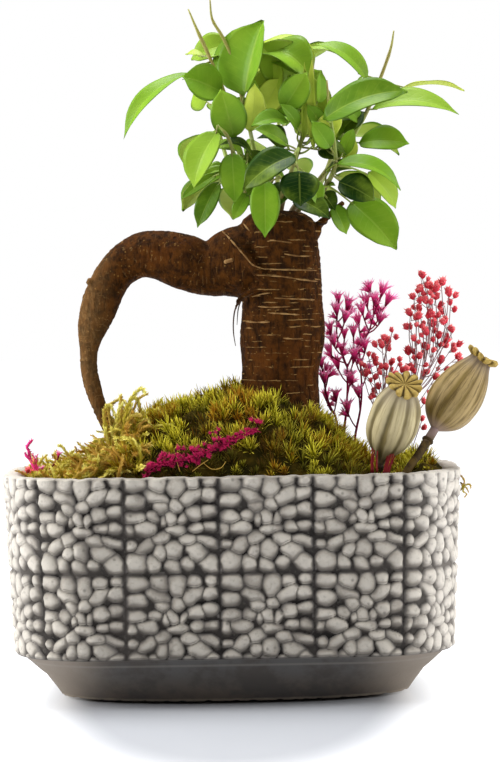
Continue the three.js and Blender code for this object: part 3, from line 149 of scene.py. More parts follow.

# Leafy shoots: a stem as x, y, z and radius, and leaves as base, tip, width, the direction of the upper
# face, arch as a share of the length, tint from dark green at 0 to pale green at 1, partly painted light
# and shade, paler for lit leaves and darker for leaves in shade, and, for some, their own fold.

FRONT = (0, -1, 0.25)
SKY = (0, -0.4, 1)
BACK = (0, 0.7, 0.7)
SHOOTS = {
    "left": {
        "stem": [
            (17, -2, 235, 2), (17, -2, 244, 2), (10, -5, 260, 1.7), (5, -7, 279, 1.5), (1, -6, 297, 1.3),
            (-2, -5, 308, 1.2), (-5, -3, 315, 1.1), (-10, 0, 327, 1.4), (-14, 0, 336, 1),
            (-18, 2, 346, 0.5),
        ],
        "leaves": [
            ((-17, -4, 313.5), (-52, -13, 281.5), 11.5, (-0.35, -0.55, 0.75), 0.15, 0.52),
            ((-1.6, -10, 303.3), (-21, -16, 311.5), 19, (0.1, -0.9, 0.4), 0.06, 0.5),
            ((-11, 3, 322), (-20, 7, 324), 7, SKY, 0.1, 0.7),
            ((4, -17, 280), (-2, -22, 304), 17, FRONT, 0.05, 0.5),
            ((0, -9, 265), (-13, -12, 257), 9, (-0.3, -0.8, 0.5), 0.08, 0.4),
            ((9, -13, 271), (-6, -20, 276), 11, (0, -0.6, 0.8), 0.15, 0.6),
            ((0, -4, 304), (-21, -8, 311), 12, (0, -0.5, 0.9), 0.1, 0.5),
        ],
    },
    "top": {
        "stem": [
            (20, 5, 235, 2), (20, 5, 244, 2), (16, 4, 264, 1.7), (12, 2, 285, 1.4), (8, 1, 302, 1.2),
            (4, 2, 320, 1.1), (-1, 4, 332, 1.2), (-6, 5, 341, 0.9), (-7, 5, 351, 0.5),
        ],
        "leaves": [
            ((9.5, -6, 301.5), (19.2, 0, 340), 35, (-0.76, -0.66, 0.1), 0.03, 0.36, 0.6),
            ((3, 10, 329), (-17.5, 12, 322), 15, (-0.2, -0.8, 0.5), 0.08, 0.6),
            ((12, -8, 284), (15, -14, 309), 9, (0.2, -1, 0.1), 0.08, 0.45),
            ((20, 2, 296), (15, 12, 314), 14, (0, -0.7, 0.7), 0.08, 0.5),
            ((37, 6, 309), (17, 2, 328), 23, (-0.2, -0.85, 0.35), 0.1, 0.58, 0.4),
            ((20, 9, 324), (44.5, -4, 309), 20, (0.1, -0.75, 0.6), 0.26, 0.54, 0.5),
            ((12, -12, 283), (15, -16, 307), 11, (0.3, -0.9, 0.2), 0.08, 0.85),
            ((18, 2, 294), (28, 0, 319), 16, (-0.2, -0.8, 0.4), 0.12, 0.72),
            ((12, 4, 290), (3, 4, 301), 12, FRONT, 0.1, 0.4),
            ((18.3, -4, 292.8), (28.2, -4, 310.2), 14, FRONT, 0.06, 0.88),
            ((30, -8, 275.3), (17.6, -10, 283.5), 12, (0, -0.7, 0.7), 0.15, 0.02),
            ((26, 6, 296), (33, 2, 312), 14, FRONT, 0.06, 0.6),
        ],
    },
    "centre": {
        "stem": [
            (27, -2, 235, 2), (27, -2, 244, 2), (32, -6, 261, 1.7), (38, -8, 279, 1.5), (42, -6, 297, 1.6),
            (44, -4, 310, 1.3), (44, -2, 321, 0.6),
        ],
        "leaves": [
            ((45, 5, 316), (20, 14, 331), 15, (-0.1, -0.5, 0.9), 0.16, 0.7),
            ((40, -4, 312), (22, 5, 320), 10, (-0.2, -0.6, 0.8), 0.12, 0.6),
            ((29, -14, 294), (41, -15, 312), 14, (0.2, -1, 0.2), 0.05, 0.5),
            ((31, -18, 288), (13, -28, 286), 11, (0, -0.7, 0.7), 0.12, 0.35),
            ((36, -15, 284), (28, -24, 296), 8, (0, -0.8, 0.6), 0.1, 0.4),
            ((47, -8, 297), (48, -7, 312), 8, (0.7, -0.7, 0.1), 0.05, 0.45),
            ((34, -8, 268), (26, -16, 274), 9, SKY, 0.1, 0.2),
            ((40, -10, 276), (50, -14, 282), 8, SKY, 0.1, 0.3),
            ((32, -16, 273), (16, -22, 280), 10, (0, -0.5, 0.9), 0.2, 0.08),
            ((38, 12, 294), (22, 8, 308), 17, FRONT, 0.1, 0.45),
            ((35, 4, 283), (49, 0, 293), 12, FRONT, 0.1, 0.7),
            ((38.6, -10, 277.6), (40.3, -10, 317.6), 4, (0.3, -1, 0), 0.02, 0.8, 0.9),
            ((44, -12, 273.4), (43.3, -12, 319.4), 4.5, (-0.3, -1, 0), 0.02, 0.85, 0.9),
            ((46, -12, 278.4), (58, -14, 292), 11, FRONT, 0.08, 0.85),
            ((46, -6, 273.6), (60.6, -10, 272.2), 10, FRONT, 0.15, 0.0),
            ((48.6, 0, 286.9), (69, 2, 289), 12, (0, -0.6, 0.8), 0.15, 0.14),
            ((47.7, 6, 289), (44.5, 6, 311), 14, FRONT, 0.08, 0.75),
            ((49, 3, 281), (62, 5, 292), 12, FRONT, 0.1, 0.3),
            ((39, 10, 302), (49, 12, 315), 16, FRONT, 0.1, 0.6),
        ],
    },
    "right": {
        "stem": [
            (33, 4, 235, 2), (33, 4, 244, 2), (46, 7, 258, 1.8), (59, 8, 274, 1.6), (67, 9, 285, 1.5),
            (73, 9, 296, 1.4), (78, 9, 308, 1.3), (84, 9, 324, 1), (86, 9, 334, 0.5),
        ],
        "leaves": [
            ((72, 6, 309), (46, 12, 328.5), 12, (0.1, -0.6, 0.8), 0.18, 0.55),
            ((70, 15, 312), (38, 24, 327), 9, (0, -0.3, 1), 0.16, 0.55),
            ((74, -1, 294), (117, -10, 291.5), 16, (0.1, -0.6, 0.8), 0.14, 0.62),
            ((90, 13, 305), (122, 16, 305), 13, (0, -0.05, 1), 0.08, 0.85),
            ((67, -1, 277), (92, -8, 276.5), 15, (0.1, -0.8, 0.6), 0.08, 0.5),
            ((68, 0, 288), (56, -6, 298), 9, (-0.2, -0.8, 0.6), 0.06, 0.45),
            ((58, 2, 283), (70, 0, 293), 13, (0, -0.8, 0.6), 0.1, 0.08),
            ((61, 8, 279), (53, 8, 295), 13, FRONT, 0.1, 0.2),
            ((66, 14, 293), (85, 12, 303), 12, (0, -0.5, 0.9), 0.12, 0.75),
        ],
    },
    "low_right": {
        "stem": [
            (36, -5, 235, 2), (36, -5, 244, 2), (46, -13, 250, 1.8), (54, -17, 264, 1.5),
            (54, -18, 277, 1.3), (52, -16, 292, 1.2), (51, -14, 308, 0.5),
        ],
        "leaves": [
            ((48.5, -24, 288), (90, -27, 302.5), 18.5, (-0.15, -0.8, 0.6), 0.12, 0.26),
            ((50, -12, 283), (41, -16, 296), 8, FRONT, 0.05, 0.4),
            ((52, -23, 274), (43, -28, 287), 10, FRONT, 0.06, 0.5),
            ((58, -12, 270), (64, -9, 284), 7, FRONT, 0.05, 0.45),
            ((55, -22, 266), (87, -22, 253), 13, (0.3, -0.6, 0.8), 0.18, 0.5),
            ((71, -11, 262), (85.5, -9, 244), 13, (0.5, -0.8, 0.4), 0.08, 0.66),
            ((56, -25, 257), (73.5, -30, 247.5), 15, (0.2, -0.9, 0.4), 0.06, 0.04),
            ((62, -17, 247), (84, -28, 223), 20.5, (0.25, -1, 0.3), 0.08, 0.5),
            ((53, -12, 246), (60, -11, 231), 9, (0.3, -1, 0.2), 0.05, 0.35),
            ((50, -14, 262), (60, -20, 268), 8, SKY, 0.1, 0.2),
            ((46, -12, 252), (54, -20, 256), 7, SKY, 0.1, 0.2),
            ((44, -8, 274), (60, -16, 271), 10, (0, -0.5, 0.9), 0.2, 0.08),
            ((59, -4, 269), (65, -6, 279), 9, FRONT, 0.08, 0.85),
            ((48, -2, 276), (55, -6, 288), 12, FRONT, 0.1, 0.65),
            ((52, -8, 260), (63, -14, 264), 10, (0, -0.6, 0.8), 0.15, 0.12),
            ((48, -10, 252), (54, -18, 243), 9, FRONT, 0.08, 0.1),
        ],
    },
    "low_left": {
        "stem": [
            (15, -8, 235, 2), (15, -8, 244, 2), (10, -18, 253, 1.7), (5, -25, 268, 1.4), (1, -27, 280, 1.2),
            (-4, -27, 286, 0.6),
        ],
        "leaves": [
            ((-4, -26, 283), (-17, -29, 255), 18, (-0.6, -0.85, 0.3), 0.1, 0.56),
            ((-5, -19, 262), (-23, -22, 250), 6, (-0.2, -0.9, 0.4), 0.05, 0.35),
            ((-4, -19, 258), (-15, -24, 235.5), 10, (-0.3, -1, 0.2), 0.08, 0.25),
            ((3, -28, 272), (4, -35, 247), 13, FRONT, 0.08, 0.38),
            ((10, -24, 252), (3, -27, 239), 7, FRONT, 0.06, 0.4),
            ((9, -20, 258), (0, -24, 264), 8, SKY, 0.1, 0.25),
            ((12, -14, 250), (4, -20, 246), 7, FRONT, 0.1, 0.3),
            ((13, -18, 271), (-3, -22, 277), 7, (0, -0.6, 0.8), 0.25, 0.15),
            ((8, -10, 270), (2, -14, 255), 13, FRONT, 0.08, 0.5),
            ((1, -6, 264), (-10, -10, 263), 9, (0, -0.6, 0.8), 0.15, 0.35),
            ((18, -8, 261), (10, -8, 274), 13, FRONT, 0.1, 0.12),
        ],
    },
    "front": {
        "stem": [
            (24, -10, 235, 2), (24, -10, 244, 2), (27, -24, 250, 1.7), (32, -32, 262, 1.4),
            (36, -33, 274, 0.9),
        ],
        "leaves": [
            ((34, -38, 270), (8, -46, 254), 17, (-0.1, -0.8, 0.6), 0.12, 0.15),
            ((19, -34, 258), (18.7, -42, 230), 14, FRONT, 0.08, 0.52),
            ((36, -42, 262), (36, -47, 245), 18, (0, -1, 0.1), 0.04, 0.04),
            ((33, -34, 249), (51, -40, 239), 13, (0.2, -0.8, 0.5), 0.1, 0.08),
            ((43, -33, 258), (45, -38, 245), 8, (0.3, -1, 0.1), 0.06, 0.3),
            ((31, -29, 275), (14, -34, 284), 10, (0, -0.7, 0.7), 0.1, 0.3),
            ((27, -20, 250), (18, -28, 245), 7, FRONT, 0.1, 0.35),
            ((30, -24, 256), (22, -28, 264), 8, SKY, 0.1, 0.4),
            ((35, -22, 260), (41, -34, 246), 14, FRONT, 0.06, 0.12),
            ((22, -18, 263), (10, -26, 251), 11, FRONT, 0.08, 0.2),
            ((30, -18, 256), (21, -26, 245), 10, FRONT, 0.08, 0.15),
        ],
    },
    "back_left": {
        "stem": [
            (15, 10, 235, 2), (15, 10, 244, 2), (6, 20, 256, 1.7), (-2, 30, 278, 1.4), (-6, 36, 302, 0.7),
        ],
        "leaves": [
            ((-8, 34, 284), (-22, 50, 268), 17, (-0.4, 0.5, 0.8), 0.12, 0.5),
            ((-2, 38, 294), (0, 64, 300), 16, BACK, 0.1, 0.6),
            ((-10, 38, 301), (-17, 56, 311), 15, (-0.5, 0.7, 0.4), 0.08, 0.6),
            ((-2, 28, 262), (-24, 38, 246), 16, (-0.6, 0.7, 0.4), 0.1, 0.4),
            ((4, 28, 256), (2, 52, 242), 15, (-0.1, 0.9, 0.5), 0.08, 0.3),
        ],
    },
    "back_right": {
        "stem": [
            (34, 12, 235, 2), (34, 12, 244, 2), (47, 24, 256, 1.7), (56, 34, 278, 1.4), (60, 40, 300, 0.7),
        ],
        "leaves": [
            ((63, 37, 284), (90, 44, 274), 17, (0.4, 0.5, 0.8), 0.12, 0.5),
            ((56, 42, 290), (52, 68, 286), 16, BACK, 0.1, 0.5),
            ((63, 44, 301), (71, 62, 311), 16, (0.5, 0.7, 0.4), 0.08, 0.6),
            ((56, 30, 262), (80, 38, 246), 16, (0.6, 0.7, 0.4), 0.1, 0.4),
            ((48, 32, 256), (48, 56, 242), 15, (0.1, 0.9, 0.5), 0.08, 0.3),
        ],
    },
    "back_top": {
        "stem": [
            (25, 12, 235, 2), (25, 12, 244, 2), (26, 24, 262, 1.7), (27, 30, 288, 1.4), (28, 32, 316, 0.7),
        ],
        "leaves": [
            ((22, 34, 276), (12, 58, 270), 17, BACK, 0.12, 0.4),
            ((31, 36, 288), (34, 62, 300), 17, BACK, 0.1, 0.5),
            ((26, 37, 312), (18, 56, 332), 16, (-0.2, 0.9, 0.3), 0.08, 0.6),
            ((33, 32, 312), (56, 34, 330), 15, (0.3, 0.3, 0.9), 0.12, 0.6),
            ((21, 28, 298), (-2, 28, 316), 15, (-0.3, 0.2, 0.9), 0.12, 0.6),
            ((32, 30, 268), (42, 50, 262), 15, (0.2, 0.8, 0.6), 0.1, 0.4),
        ],
    },
}

# Leaf blades: rows along and columns on each side, the fold along the middle and the thickness.

LEAF_ROWS = 15
LEAF_COLUMNS = 5
BLADE_FOLD = 0.3
LEAF_THICKNESS = 0.5

# Pale raised lines on the bark of the front, as x and z, and a small scar.

BARK_LINES = [
    [
        (-2.9, 233.7), (0.7, 230), (4.5, 225.6), (8.5, 220.9), (12.3, 216.3), (16.9, 214.5), (20.9, 214.1),
        (29.2, 213.6), (37.4, 213.4), (44.4, 213),
    ],
    [(4.4, 240.4), (7.8, 237.4), (11.2, 233.3)],
    [(14.2, 211.3), (20.9, 210.7), (27.5, 210.2), (37.4, 208.4), (44.8, 207.5)],
    [(11.7, 200.4), (16.7, 201.8), (20.7, 202.2)],
    [(22.2, 199.7), (30.6, 199.1), (37.1, 198.7), (43.1, 198.3)],
    [(14.6, 195.5), (21.6, 195), (30.6, 195.2)],
    [(19.5, 192.3), (28, 191.6), (35.5, 191)],
    [(21.2, 228.7), (27.1, 227.8), (32.1, 227)],
    [(28, 221.6), (35, 220.4), (41, 220.3)],
    [(8.5, 187.9), (14.5, 187.6), (20.5, 187.7)],
    [(26.8, 179.6), (31.3, 179.1), (36.8, 179)],
]
BARK_SCAR = [(-2, 217.8), (0.5, 218.5), (3, 219)]

# Hair roots on the trunk: x, y, z and radius.

HAIR_ROOTS = [
    [
        (23.8, -20.6, 205.7, 0.5), (16.7, -20.4, 204.3, 0.6), (10.7, -17.8, 201.9, 0.6),
        (6.6, -13, 198.9, 0.5), (3.4, -11, 194.9, 0.4), (2.2, -10, 188.9, 0.35), (2.1, -10, 182.3, 0.3),
        (3, -10.5, 175.8, 0.16),
    ],
    [(6.2, -12, 198.9, 0.35), (4.6, -9, 194, 0.3), (3.9, -8, 186.3, 0.14)],
    [(46, -4, 236, 0.7), (49.5, -5, 236.6, 0.4), (50.6, -5, 238.4, 0.2)],
]

# Stems and petioles are drawn finer than their solids.

STEM_SHARE = 0.72

# Moss leaves: share of the length and of the width.

MOSS_SPACING = 3.9
MOSS_BLADE = [(0, 0.45), (0.35, 1), (0.75, 0.6)]
MOUND_COLUMNS = 300
MOUND_ROWS = 60
FROND_COUNT = 560
FROND_STEPS = 9
SPIRAL_TURN = 2.4

# Strands that curl up high round the root's foot.

HIGH_STRANDS = [
    [
        (-57.5, -32, 114), (-54.6, -32, 130.6), (-52.4, -31, 140.5), (-50.8, -30, 148), (-48.7, -29, 151.4),
        (-46.2, -28, 154.6), (-44.2, -28, 155.6), (-43, -28, 154.4),
    ],
    [(-56, -34, 114), (-52.5, -33, 133.6), (-50.9, -32, 140.5), (-48.4, -32, 142.5), (-45.4, -32, 142.9)],
    [
        (-56.5, -32, 116), (-61, -30, 133.7), (-62.8, -28, 140.2), (-62.7, -27, 145.2), (-61.2, -26, 147.4),
        (-59.2, -26, 146.3), (-57, -27, 141.6),
    ],
    [
        (-58, -24, 132), (-60.5, -22, 142), (-61.2, -21, 146.7), (-58.7, -20, 148.6), (-55.7, -20, 150.3),
        (-53.2, -21, 149.5), (-51.8, -22, 147),
    ],
    [(-58, -30, 116), (-55.4, -28, 138.1), (-54.8, -26, 145.6), (-54.7, -26, 152)],
    [
        (-54, -28, 116), (-51.6, -27, 130.6), (-50, -26, 138.5), (-48.3, -25, 145.4), (-45.3, -25, 150.9),
        (-41.7, -25, 152.8),
    ],
    [
        (-46.5, -26, 120), (-45.1, -26, 130.5), (-44.5, -25, 140.4), (-45.3, -25, 146.9),
        (-46.8, -25, 150.4), (-48.2, -25, 150.9),
    ],
    [(-64, -32, 110), (-65.2, -32, 117.9), (-66.6, -32, 123.9), (-66.5, -32, 128.4)],
    [(-59, -34, 111), (-61.2, -34, 119.8), (-63.6, -34, 125.8), (-65, -34, 129.8)],
    [(-57, -36, 112), (-58.2, -35, 119.8), (-59.6, -34, 127.3), (-62, -33, 132.8), (-62.4, -32, 136.2)],
    [
        (-70, -32, 113), (-75.1, -32, 120.1), (-78.6, -32, 122.6), (-81.5, -32, 124.6), (-83.9, -32, 127.7),
        (-84.9, -32, 128.2),
    ],
    [(-64, -30, 113), (-67.7, -30, 119.9), (-71.1, -30, 124), (-73.5, -30, 127.5)],
    [
        (-55, -36, 112), (-53.2, -35, 122.7), (-54, -33, 132.6), (-51.5, -31, 137.1), (-50.3, -30, 144.5),
        (-49.3, -29, 147.9),
    ],
    [
        (-59.5, -35, 113), (-57.1, -34, 125.7), (-58, -32, 132.7), (-56.4, -31, 138.6), (-55.8, -30, 144.6),
        (-53.7, -29, 148.5),
    ],
    [(-52, -31, 122), (-48.6, -31, 131.5), (-46, -31, 138.4), (-42, -31, 140.4), (-40, -31, 138.3)],
    [(-67, -33, 112), (-72.2, -33, 119), (-76.1, -33, 123.1), (-79, -33, 123.6)],
    [(-53, -36, 112), (-54.3, -35, 119.7), (-58.6, -33, 125.7), (-58.5, -32, 131.7), (-59.4, -31, 136.7)],
]

# A dry scrap of moss that clings to the outside of the rim at the right.

RIM_SCRAP = [
    [
        (113.2, -23, 110.5), (115.4, -23, 108.4), (116.3, -22, 106), (115.3, -22, 104.2),
        (117.2, -22, 103.2), (118.3, -22, 101),
    ],
    [(114.3, -21, 106), (116, -21, 103.6), (115.5, -20.5, 101.5), (117.4, -20, 100), (116.6, -20, 98.6)],
    [(114, -24, 102), (116.2, -24, 104.5), (118.6, -24, 105), (119.4, -23.5, 103.2)],
]

# Dry root hairs that lie loose on the moss, and the curled sprig at the left end, with radii.

LOOSE_ROOTS = [
    [(-13.7, -54, 120, 0.18), (-9.5, -57, 117, 0.2), (-5, -57, 117.5, 0.2), (-2.5, -55, 120.5, 0.14)],
    [(-26.9, -56, 122.5, 0.2), (-26, -57, 119.5, 0.2), (-25, -57, 116, 0.2)],
    [(-19, -57, 116, 0.2), (-15, -57, 119, 0.2), (-11, -56, 121.5, 0.14)],
    [
        (-62, -33, 120, 0.3), (-63.7, -33, 124, 0.28), (-65.5, -33, 130.3, 0.24), (-67.4, -33, 132.4, 0.24),
        (-69.9, -33, 133.4, 0.35),
    ],
]
LEFT_CURL = [
    [
        (-96, -15, 109, 1.5), (-97.8, -15, 114.8, 1.6), (-99.5, -15, 118.4, 1.3), (-101.2, -15, 120.4, 1.1),
        (-102.9, -15, 122.5, 1), (-103.7, -15, 124, 0.4),
    ],
    [
        (-100.6, -14, 119.5, 0.8), (-101.6, -14, 123, 0.9), (-101.9, -14, 125.2, 0.7),
        (-102.7, -14, 126.6, 0.8), (-102.3, -14, 127.8, 1.1), (-101.2, -14, 129, 1.1),
        (-99.9, -14, 130.2, 0.4),
    ],
    [(-99.2, -15, 118, 0.7), (-99.1, -15.5, 120.6, 0.6), (-99.6, -15.5, 123.4, 0.2)],
    [(-98.6, -15, 117.6, 0.7), (-98.2, -15.5, 120.4, 0.6), (-97.4, -15.5, 123, 0.2)],
]

# Poppy capsules: share of the height and of the radius.

FRONT_CAPSULE = [
    (0, 0.15), (0.05, 0.19), (0.1, 0.31), (0.17, 0.52), (0.25, 0.73), (0.34, 0.88), (0.44, 0.97), (0.54, 1),
    (0.66, 0.98), (0.77, 0.91), (0.86, 0.78), (0.93, 0.62), (1, 0.42),
]
RIGHT_CAPSULE = [
    (0, 0.15), (0.03, 0.3), (0.08, 0.56), (0.16, 0.79), (0.28, 0.95), (0.42, 1), (0.55, 0.97), (0.68, 0.86),
    (0.8, 0.69), (0.9, 0.5), (1, 0.38),
]

# Dark red cut stems beside the foot of the front poppy: foot and top.

CUT_STEMS = [
    ((68.8, -51, 113.4), (69.6, -46, 125.3)), ((69.5, -51, 113.4), (70.6, -46, 124.3)),
    ((71.5, -51, 113.8), (72.1, -46, 123.8)), ((74.6, -51, 112.8), (77.0, -46, 121.3)),
    ((75.1, -51, 112.8), (78.0, -46, 121.8)), ((75.9, -51, 112.8), (78.9, -46, 122.2)),
    ((76.4, -51, 112.8), (79.9, -46, 122.2)), ((77.1, -51, 112.7), (80.6, -46, 121.2)),
]

# A calyx and a pod of size 1 above their feet: heights and radii.

CALYX = [(1.8, 0.95), (3.8, 1.65), (5.2, 1.95), (5.6, 1.2)]
CALYX_SIDES = 7
CALYX_POINTS = 15
POD = [(0.5, 0.9), (1.5, 1.4), (2.7, 1.45), (3.8, 1.0), (4.3, 0.4)]
POD_SIDES = 10
POD_SCALES = 16

# Dried flowers: stems as x, y, z and radius, then the middle of each calyx or pod.

MAGENTA = {
    "magenta_left": {
        "stems": [
            [
                (54, 15, 112, 1.1), (54, 15, 135, 1.1), (51, 15, 143, 0.9), (48.5, 15, 151, 0.8),
                (47.5, 15.5, 161, 0.6),
            ],
        ],
        "calyces": [(48, 13, 158), (46.5, 18, 166), (50.5, 16.5, 162.5), (54, 16, 150), (49, 20, 149)],
    },
    "magenta_middle": {
        "stems": [
            [
                (58, 22, 108, 1.3), (58, 22, 129.5, 1.3), (59, 22, 139, 1.1), (60, 22, 152, 1),
                (60, 22, 165, 0.9),
            ],
            [(60, 22, 163, 0.9), (57, 21, 172, 0.8), (55, 21, 179, 0.8), (55, 21, 191, 0.6)],
            [
                (60, 22, 163, 0.9), (65, 24, 173, 0.9), (71, 25, 180, 0.8), (74, 25, 189, 0.8),
                (78, 26, 200, 0.6),
            ],
        ],
        "calyces": [
            (55, 20, 193), (59.5, 18, 189), (51.5, 23, 184), (59, 25, 181), (53, 17, 177), (57.5, 27, 173),
            (51, 21.5, 172.5), (55, 26, 165), (61.5, 26, 158), (79, 26, 202), (82, 29, 197),
            (74.5, 22, 199), (70.5, 27, 197), (68, 21, 193), (77, 31, 190), (66, 27, 187), (78, 22, 188),
            (63.5, 20, 182), (69, 29, 178), (68, 19, 175), (56, 24, 199), (61, 20, 196), (72, 24, 205),
            (64, 24, 168),
        ],
    },
    "magenta_right": {
        "stems": [
            [
                (63, 13, 108, 1.2), (63, 13, 126, 1.2), (66, 13, 141, 1), (67, 13, 152, 0.9),
                (66.5, 13, 164, 0.8), (66, 12, 172, 0.6),
            ],
        ],
        "calyces": [
            (69, 12, 175), (63.5, 11, 170), (61.5, 13, 158), (65, 9, 151), (70.5, 14, 163), (59.5, 11, 143),
        ],
    },
    "magenta_sprig_left": {
        "stems": [[(-94, -12, 106, 0.9), (-93.5, -13, 114, 0.9)]],
        "calyces": [(-95.5, -15, 117), (-93.5, -14, 115.5), (-86.5, -14, 124.5)],
    },
    "magenta_sprig_laid": {
        "stems": [
            [
                (-41, -55, 108, 1), (-40, -55.5, 117, 1), (-31, -55.5, 119, 1), (-20, -55, 121, 1),
                (-10, -54, 124.5, 0.9), (1, -51, 129, 0.8), (12, -48, 134, 0.6),
            ],
        ],
        "calyces": [
            (-39, -57, 119), (-35, -57, 117), (-33, -57, 121), (-29, -56, 119), (-28, -56.5, 123),
            (-24, -57, 119), (-23, -56, 124), (-19, -57, 121), (-18, -56, 126), (-26, -55, 127),
            (-14, -56, 124), (-13, -55, 129), (-9, -55, 127), (-8, -56, 131), (-4, -54, 131),
            (-3, -55, 127), (1, -52, 132), (5, -51, 134), (9, -50, 136), (13, -49, 139), (-7, -55, 135),
            (-16, -56, 120), (-32, -56.5, 124),
        ],
    },
}
CORAL = {
    "coral_left": {
        "stems": [
            [
                (80, 4, 105, 1), (80, 4, 118, 1), (79, 3, 128, 0.9), (77.5, 2, 142, 0.8),
                (77.5, 2, 156, 0.7), (79, 2, 170, 0.5),
            ],
        ],
        "pods": [
            (86, 2, 168), (89, -1, 162), (82, 6, 166), (74, 4, 166), (70.5, 0, 171), (77, 0, 175),
            (82, 1, 183), (83, -2, 160), (73.5, -2, 159), (72, 0, 150), (69, 3, 161), (84.5, 5, 152),
            (80.5, 4, 177), (75, 5, 154), (66.5, 1, 166), (88, 1, 157), (79, -1, 164), (78, 1, 179),
        ],
    },
    "coral_right": {
        "stems": [
            [
                (86, 12, 106, 1.2), (86, 12, 119.5, 1.2), (88, 12, 131, 1.1), (94, 12, 149, 1),
                (99, 12, 163, 0.8), (102, 12, 178, 0.7), (103, 12, 196, 0.5),
            ],
            [(94, 12, 149, 0.8), (95, 9, 166, 0.7), (95, 9, 184, 0.5)],
            [(95, 12, 152, 0.8), (104, 15, 166, 0.7), (111, 15, 182, 0.5), (110, 14, 194, 0.5)],
        ],
        "pods": [
            (99, 10, 210), (97.5, 14, 203), (94, 9, 200), (109, 12, 206), (105.5, 8, 203), (103, 15, 204),
            (100, 8, 197), (106, 14, 199), (97, 14, 193), (112, 13, 201), (113, 18, 196), (108, 19, 193),
            (102, 8, 190), (107, 12, 190), (91.5, 9, 191), (96, 6, 189), (99, 16, 185), (104.5, 18, 185),
            (92, 12, 184), (100, 8, 181), (93.5, 5, 178), (107, 15, 179), (114, 16, 182), (111, 19, 176),
            (114.5, 14, 174), (99.5, 15, 174), (104, 9, 172), (117, 18, 168), (91, 12, 171), (96.5, 6, 169),
            (92, 8, 163), (98.5, 14, 160), (108, 18, 166), (102, 16, 150), (98, 14, 137), (110, 10, 187),
            (95, 12, 155), (105, 14, 158), (89, 8, 158), (101, 11, 205),
        ],
    },
    "coral_sprig_left": {
        "stems": [[(-101, -14, 105, 0.9), (-101, -14, 110, 0.9), (-101, -14, 113, 0.7)]],
        "pods": [
            (-105.5, -14, 114.4), (-102.5, -18, 115.6), (-99.5, -15, 115), (-101.8, -11, 116),
            (-104, -17, 113.8), (-100.6, -12, 114.2), (-98.4, -18, 114.6),
        ],
    },
}
CAPSULE_COLUMNS = 132
CAPSULE_ROWS = 44
CROWN_RAYS = 11
CROWN_LEVELS = [
    (0.0, -2.9), (0.5, -2.6), (0.72, -1.9), (0.9, -1.0), (0.98, -0.5), (1.0, 0.1), (0.96, 0.5),
    (0.86, 0.62), (0.7, 0.5), (0.5, 0.3), (0.34, 0.15), (0.2, 0.0), (0.04, -0.1),
]
KNOT_PROFILE = [(0, 2.0), (0.7, 2.8), (1.6, 3.1), (2.5, 2.7), (3.2, 1.9)]
POPPIES = {
    "poppy_front": {
        "stalk": [(74, -28, 100, 1.7), (74, -28, 117, 1.8)],
        "foot": (74, -28, 116.5),
        "crown": (85.6, -43, 154.8),
        "radius": 13.1,
        "crown_radius": 9.4,
        "profile": FRONT_CAPSULE,
        "ribs": 9,
        "depth": 0.1,
        "tilt": (0, -0.42, 0),
        "lift": 1.6,
    },
    "poppy_right": {
        "stalk": [(84, -50, 103, 2), (86, -48, 113, 2), (92.5, -39, 121, 2.1), (97.6, -31, 127.5, 2.3)],
        "foot": (101.4, -26, 133),
        "crown": (126.4, -22, 168.3),
        "radius": 13.3,
        "crown_radius": 8.9,
        "profile": RIGHT_CAPSULE,
        "ribs": 12,
        "depth": 0.03,
        "tilt": (0, -0.08, 0),
        "lift": 0.0,
        "knot": (97.8, -30.5, 127.8),
    },
}

# Moss mound: x and height along its ridge.

MOSS_RIDGE = [
    (-108, 106), (-99, 107.5), (-87, 111), (-77, 112), (-69, 113.5), (-64, 117.5), (-58, 124), (-51, 131.5),
    (-46, 137), (-41, 140.5), (-26, 145), (-15, 148.5), (5, 155), (25, 153), (36, 147.5), (50, 134.5),
    (60, 123), (68, 115), (74, 112.5), (91, 116), (96, 119), (104, 115), (108, 110),
]
MOSS_EDGE = 109.0
MOSS_BASE = 103.3
MOSS_HALF_WIDTH = 58.5


# Mesh helpers.

def new_piece(name, points, faces, material):
    """A smooth-shaded mesh from points in millimetres, riding on the one body."""
    mesh = bpy.data.meshes.new(name)
    mesh.from_pydata((np.asarray(points, dtype=float) * MM).tolist(), [], faces)
    mesh.validate()
    mesh.polygons.foreach_set("use_smooth", np.ones(len(mesh.polygons), dtype=bool))
    piece = bpy.data.objects.new(name, mesh)
    bpy.context.scene.collection.objects.link(piece)
    mesh.materials.append(material)
    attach(piece, "root")
    return piece


def give_values(piece, name, values):
    """A number for each point of a piece, for its material to read."""
    attribute = piece.data.attributes.new(name, "FLOAT", "POINT")
    attribute.data.foreach_set("value", np.asarray(values, dtype=np.float32))


class Shape:
    """Points, faces and named point values of a piece while it is being put together."""

    def __init__(self, *value_names):
        self.points = []
        self.faces = []
        self.values = {name: [] for name in value_names}

    def add(self, points, faces, **values):
        start = len(self.points)
        self.points.extend(tuple(point) for point in points)
        self.faces.extend(tuple(start + corner for corner in face) for face in faces)
        for name, stored in self.values.items():
            value = values[name]
            stored.extend(value if hasattr(value, "__len__") else [value] * len(points))

    def piece(self, name, material, slot):
        made = new_piece(name, self.points, self.faces, material)
        for value_name, stored in self.values.items():
            give_values(made, value_name, stored)
        return made


def ring_faces(rings, sides):
    """Quads between rings of points, and a face over each end."""
    faces = []
    for r in range(rings - 1):
        for i in range(sides):
            a = r * sides + i
            b = r * sides + (i + 1) % sides
            faces.append((a, b, b + sides, a + sides))
    faces.append(tuple(range(sides))[::-1])
    faces.append(tuple((rings - 1) * sides + i for i in range(sides)))
    return faces


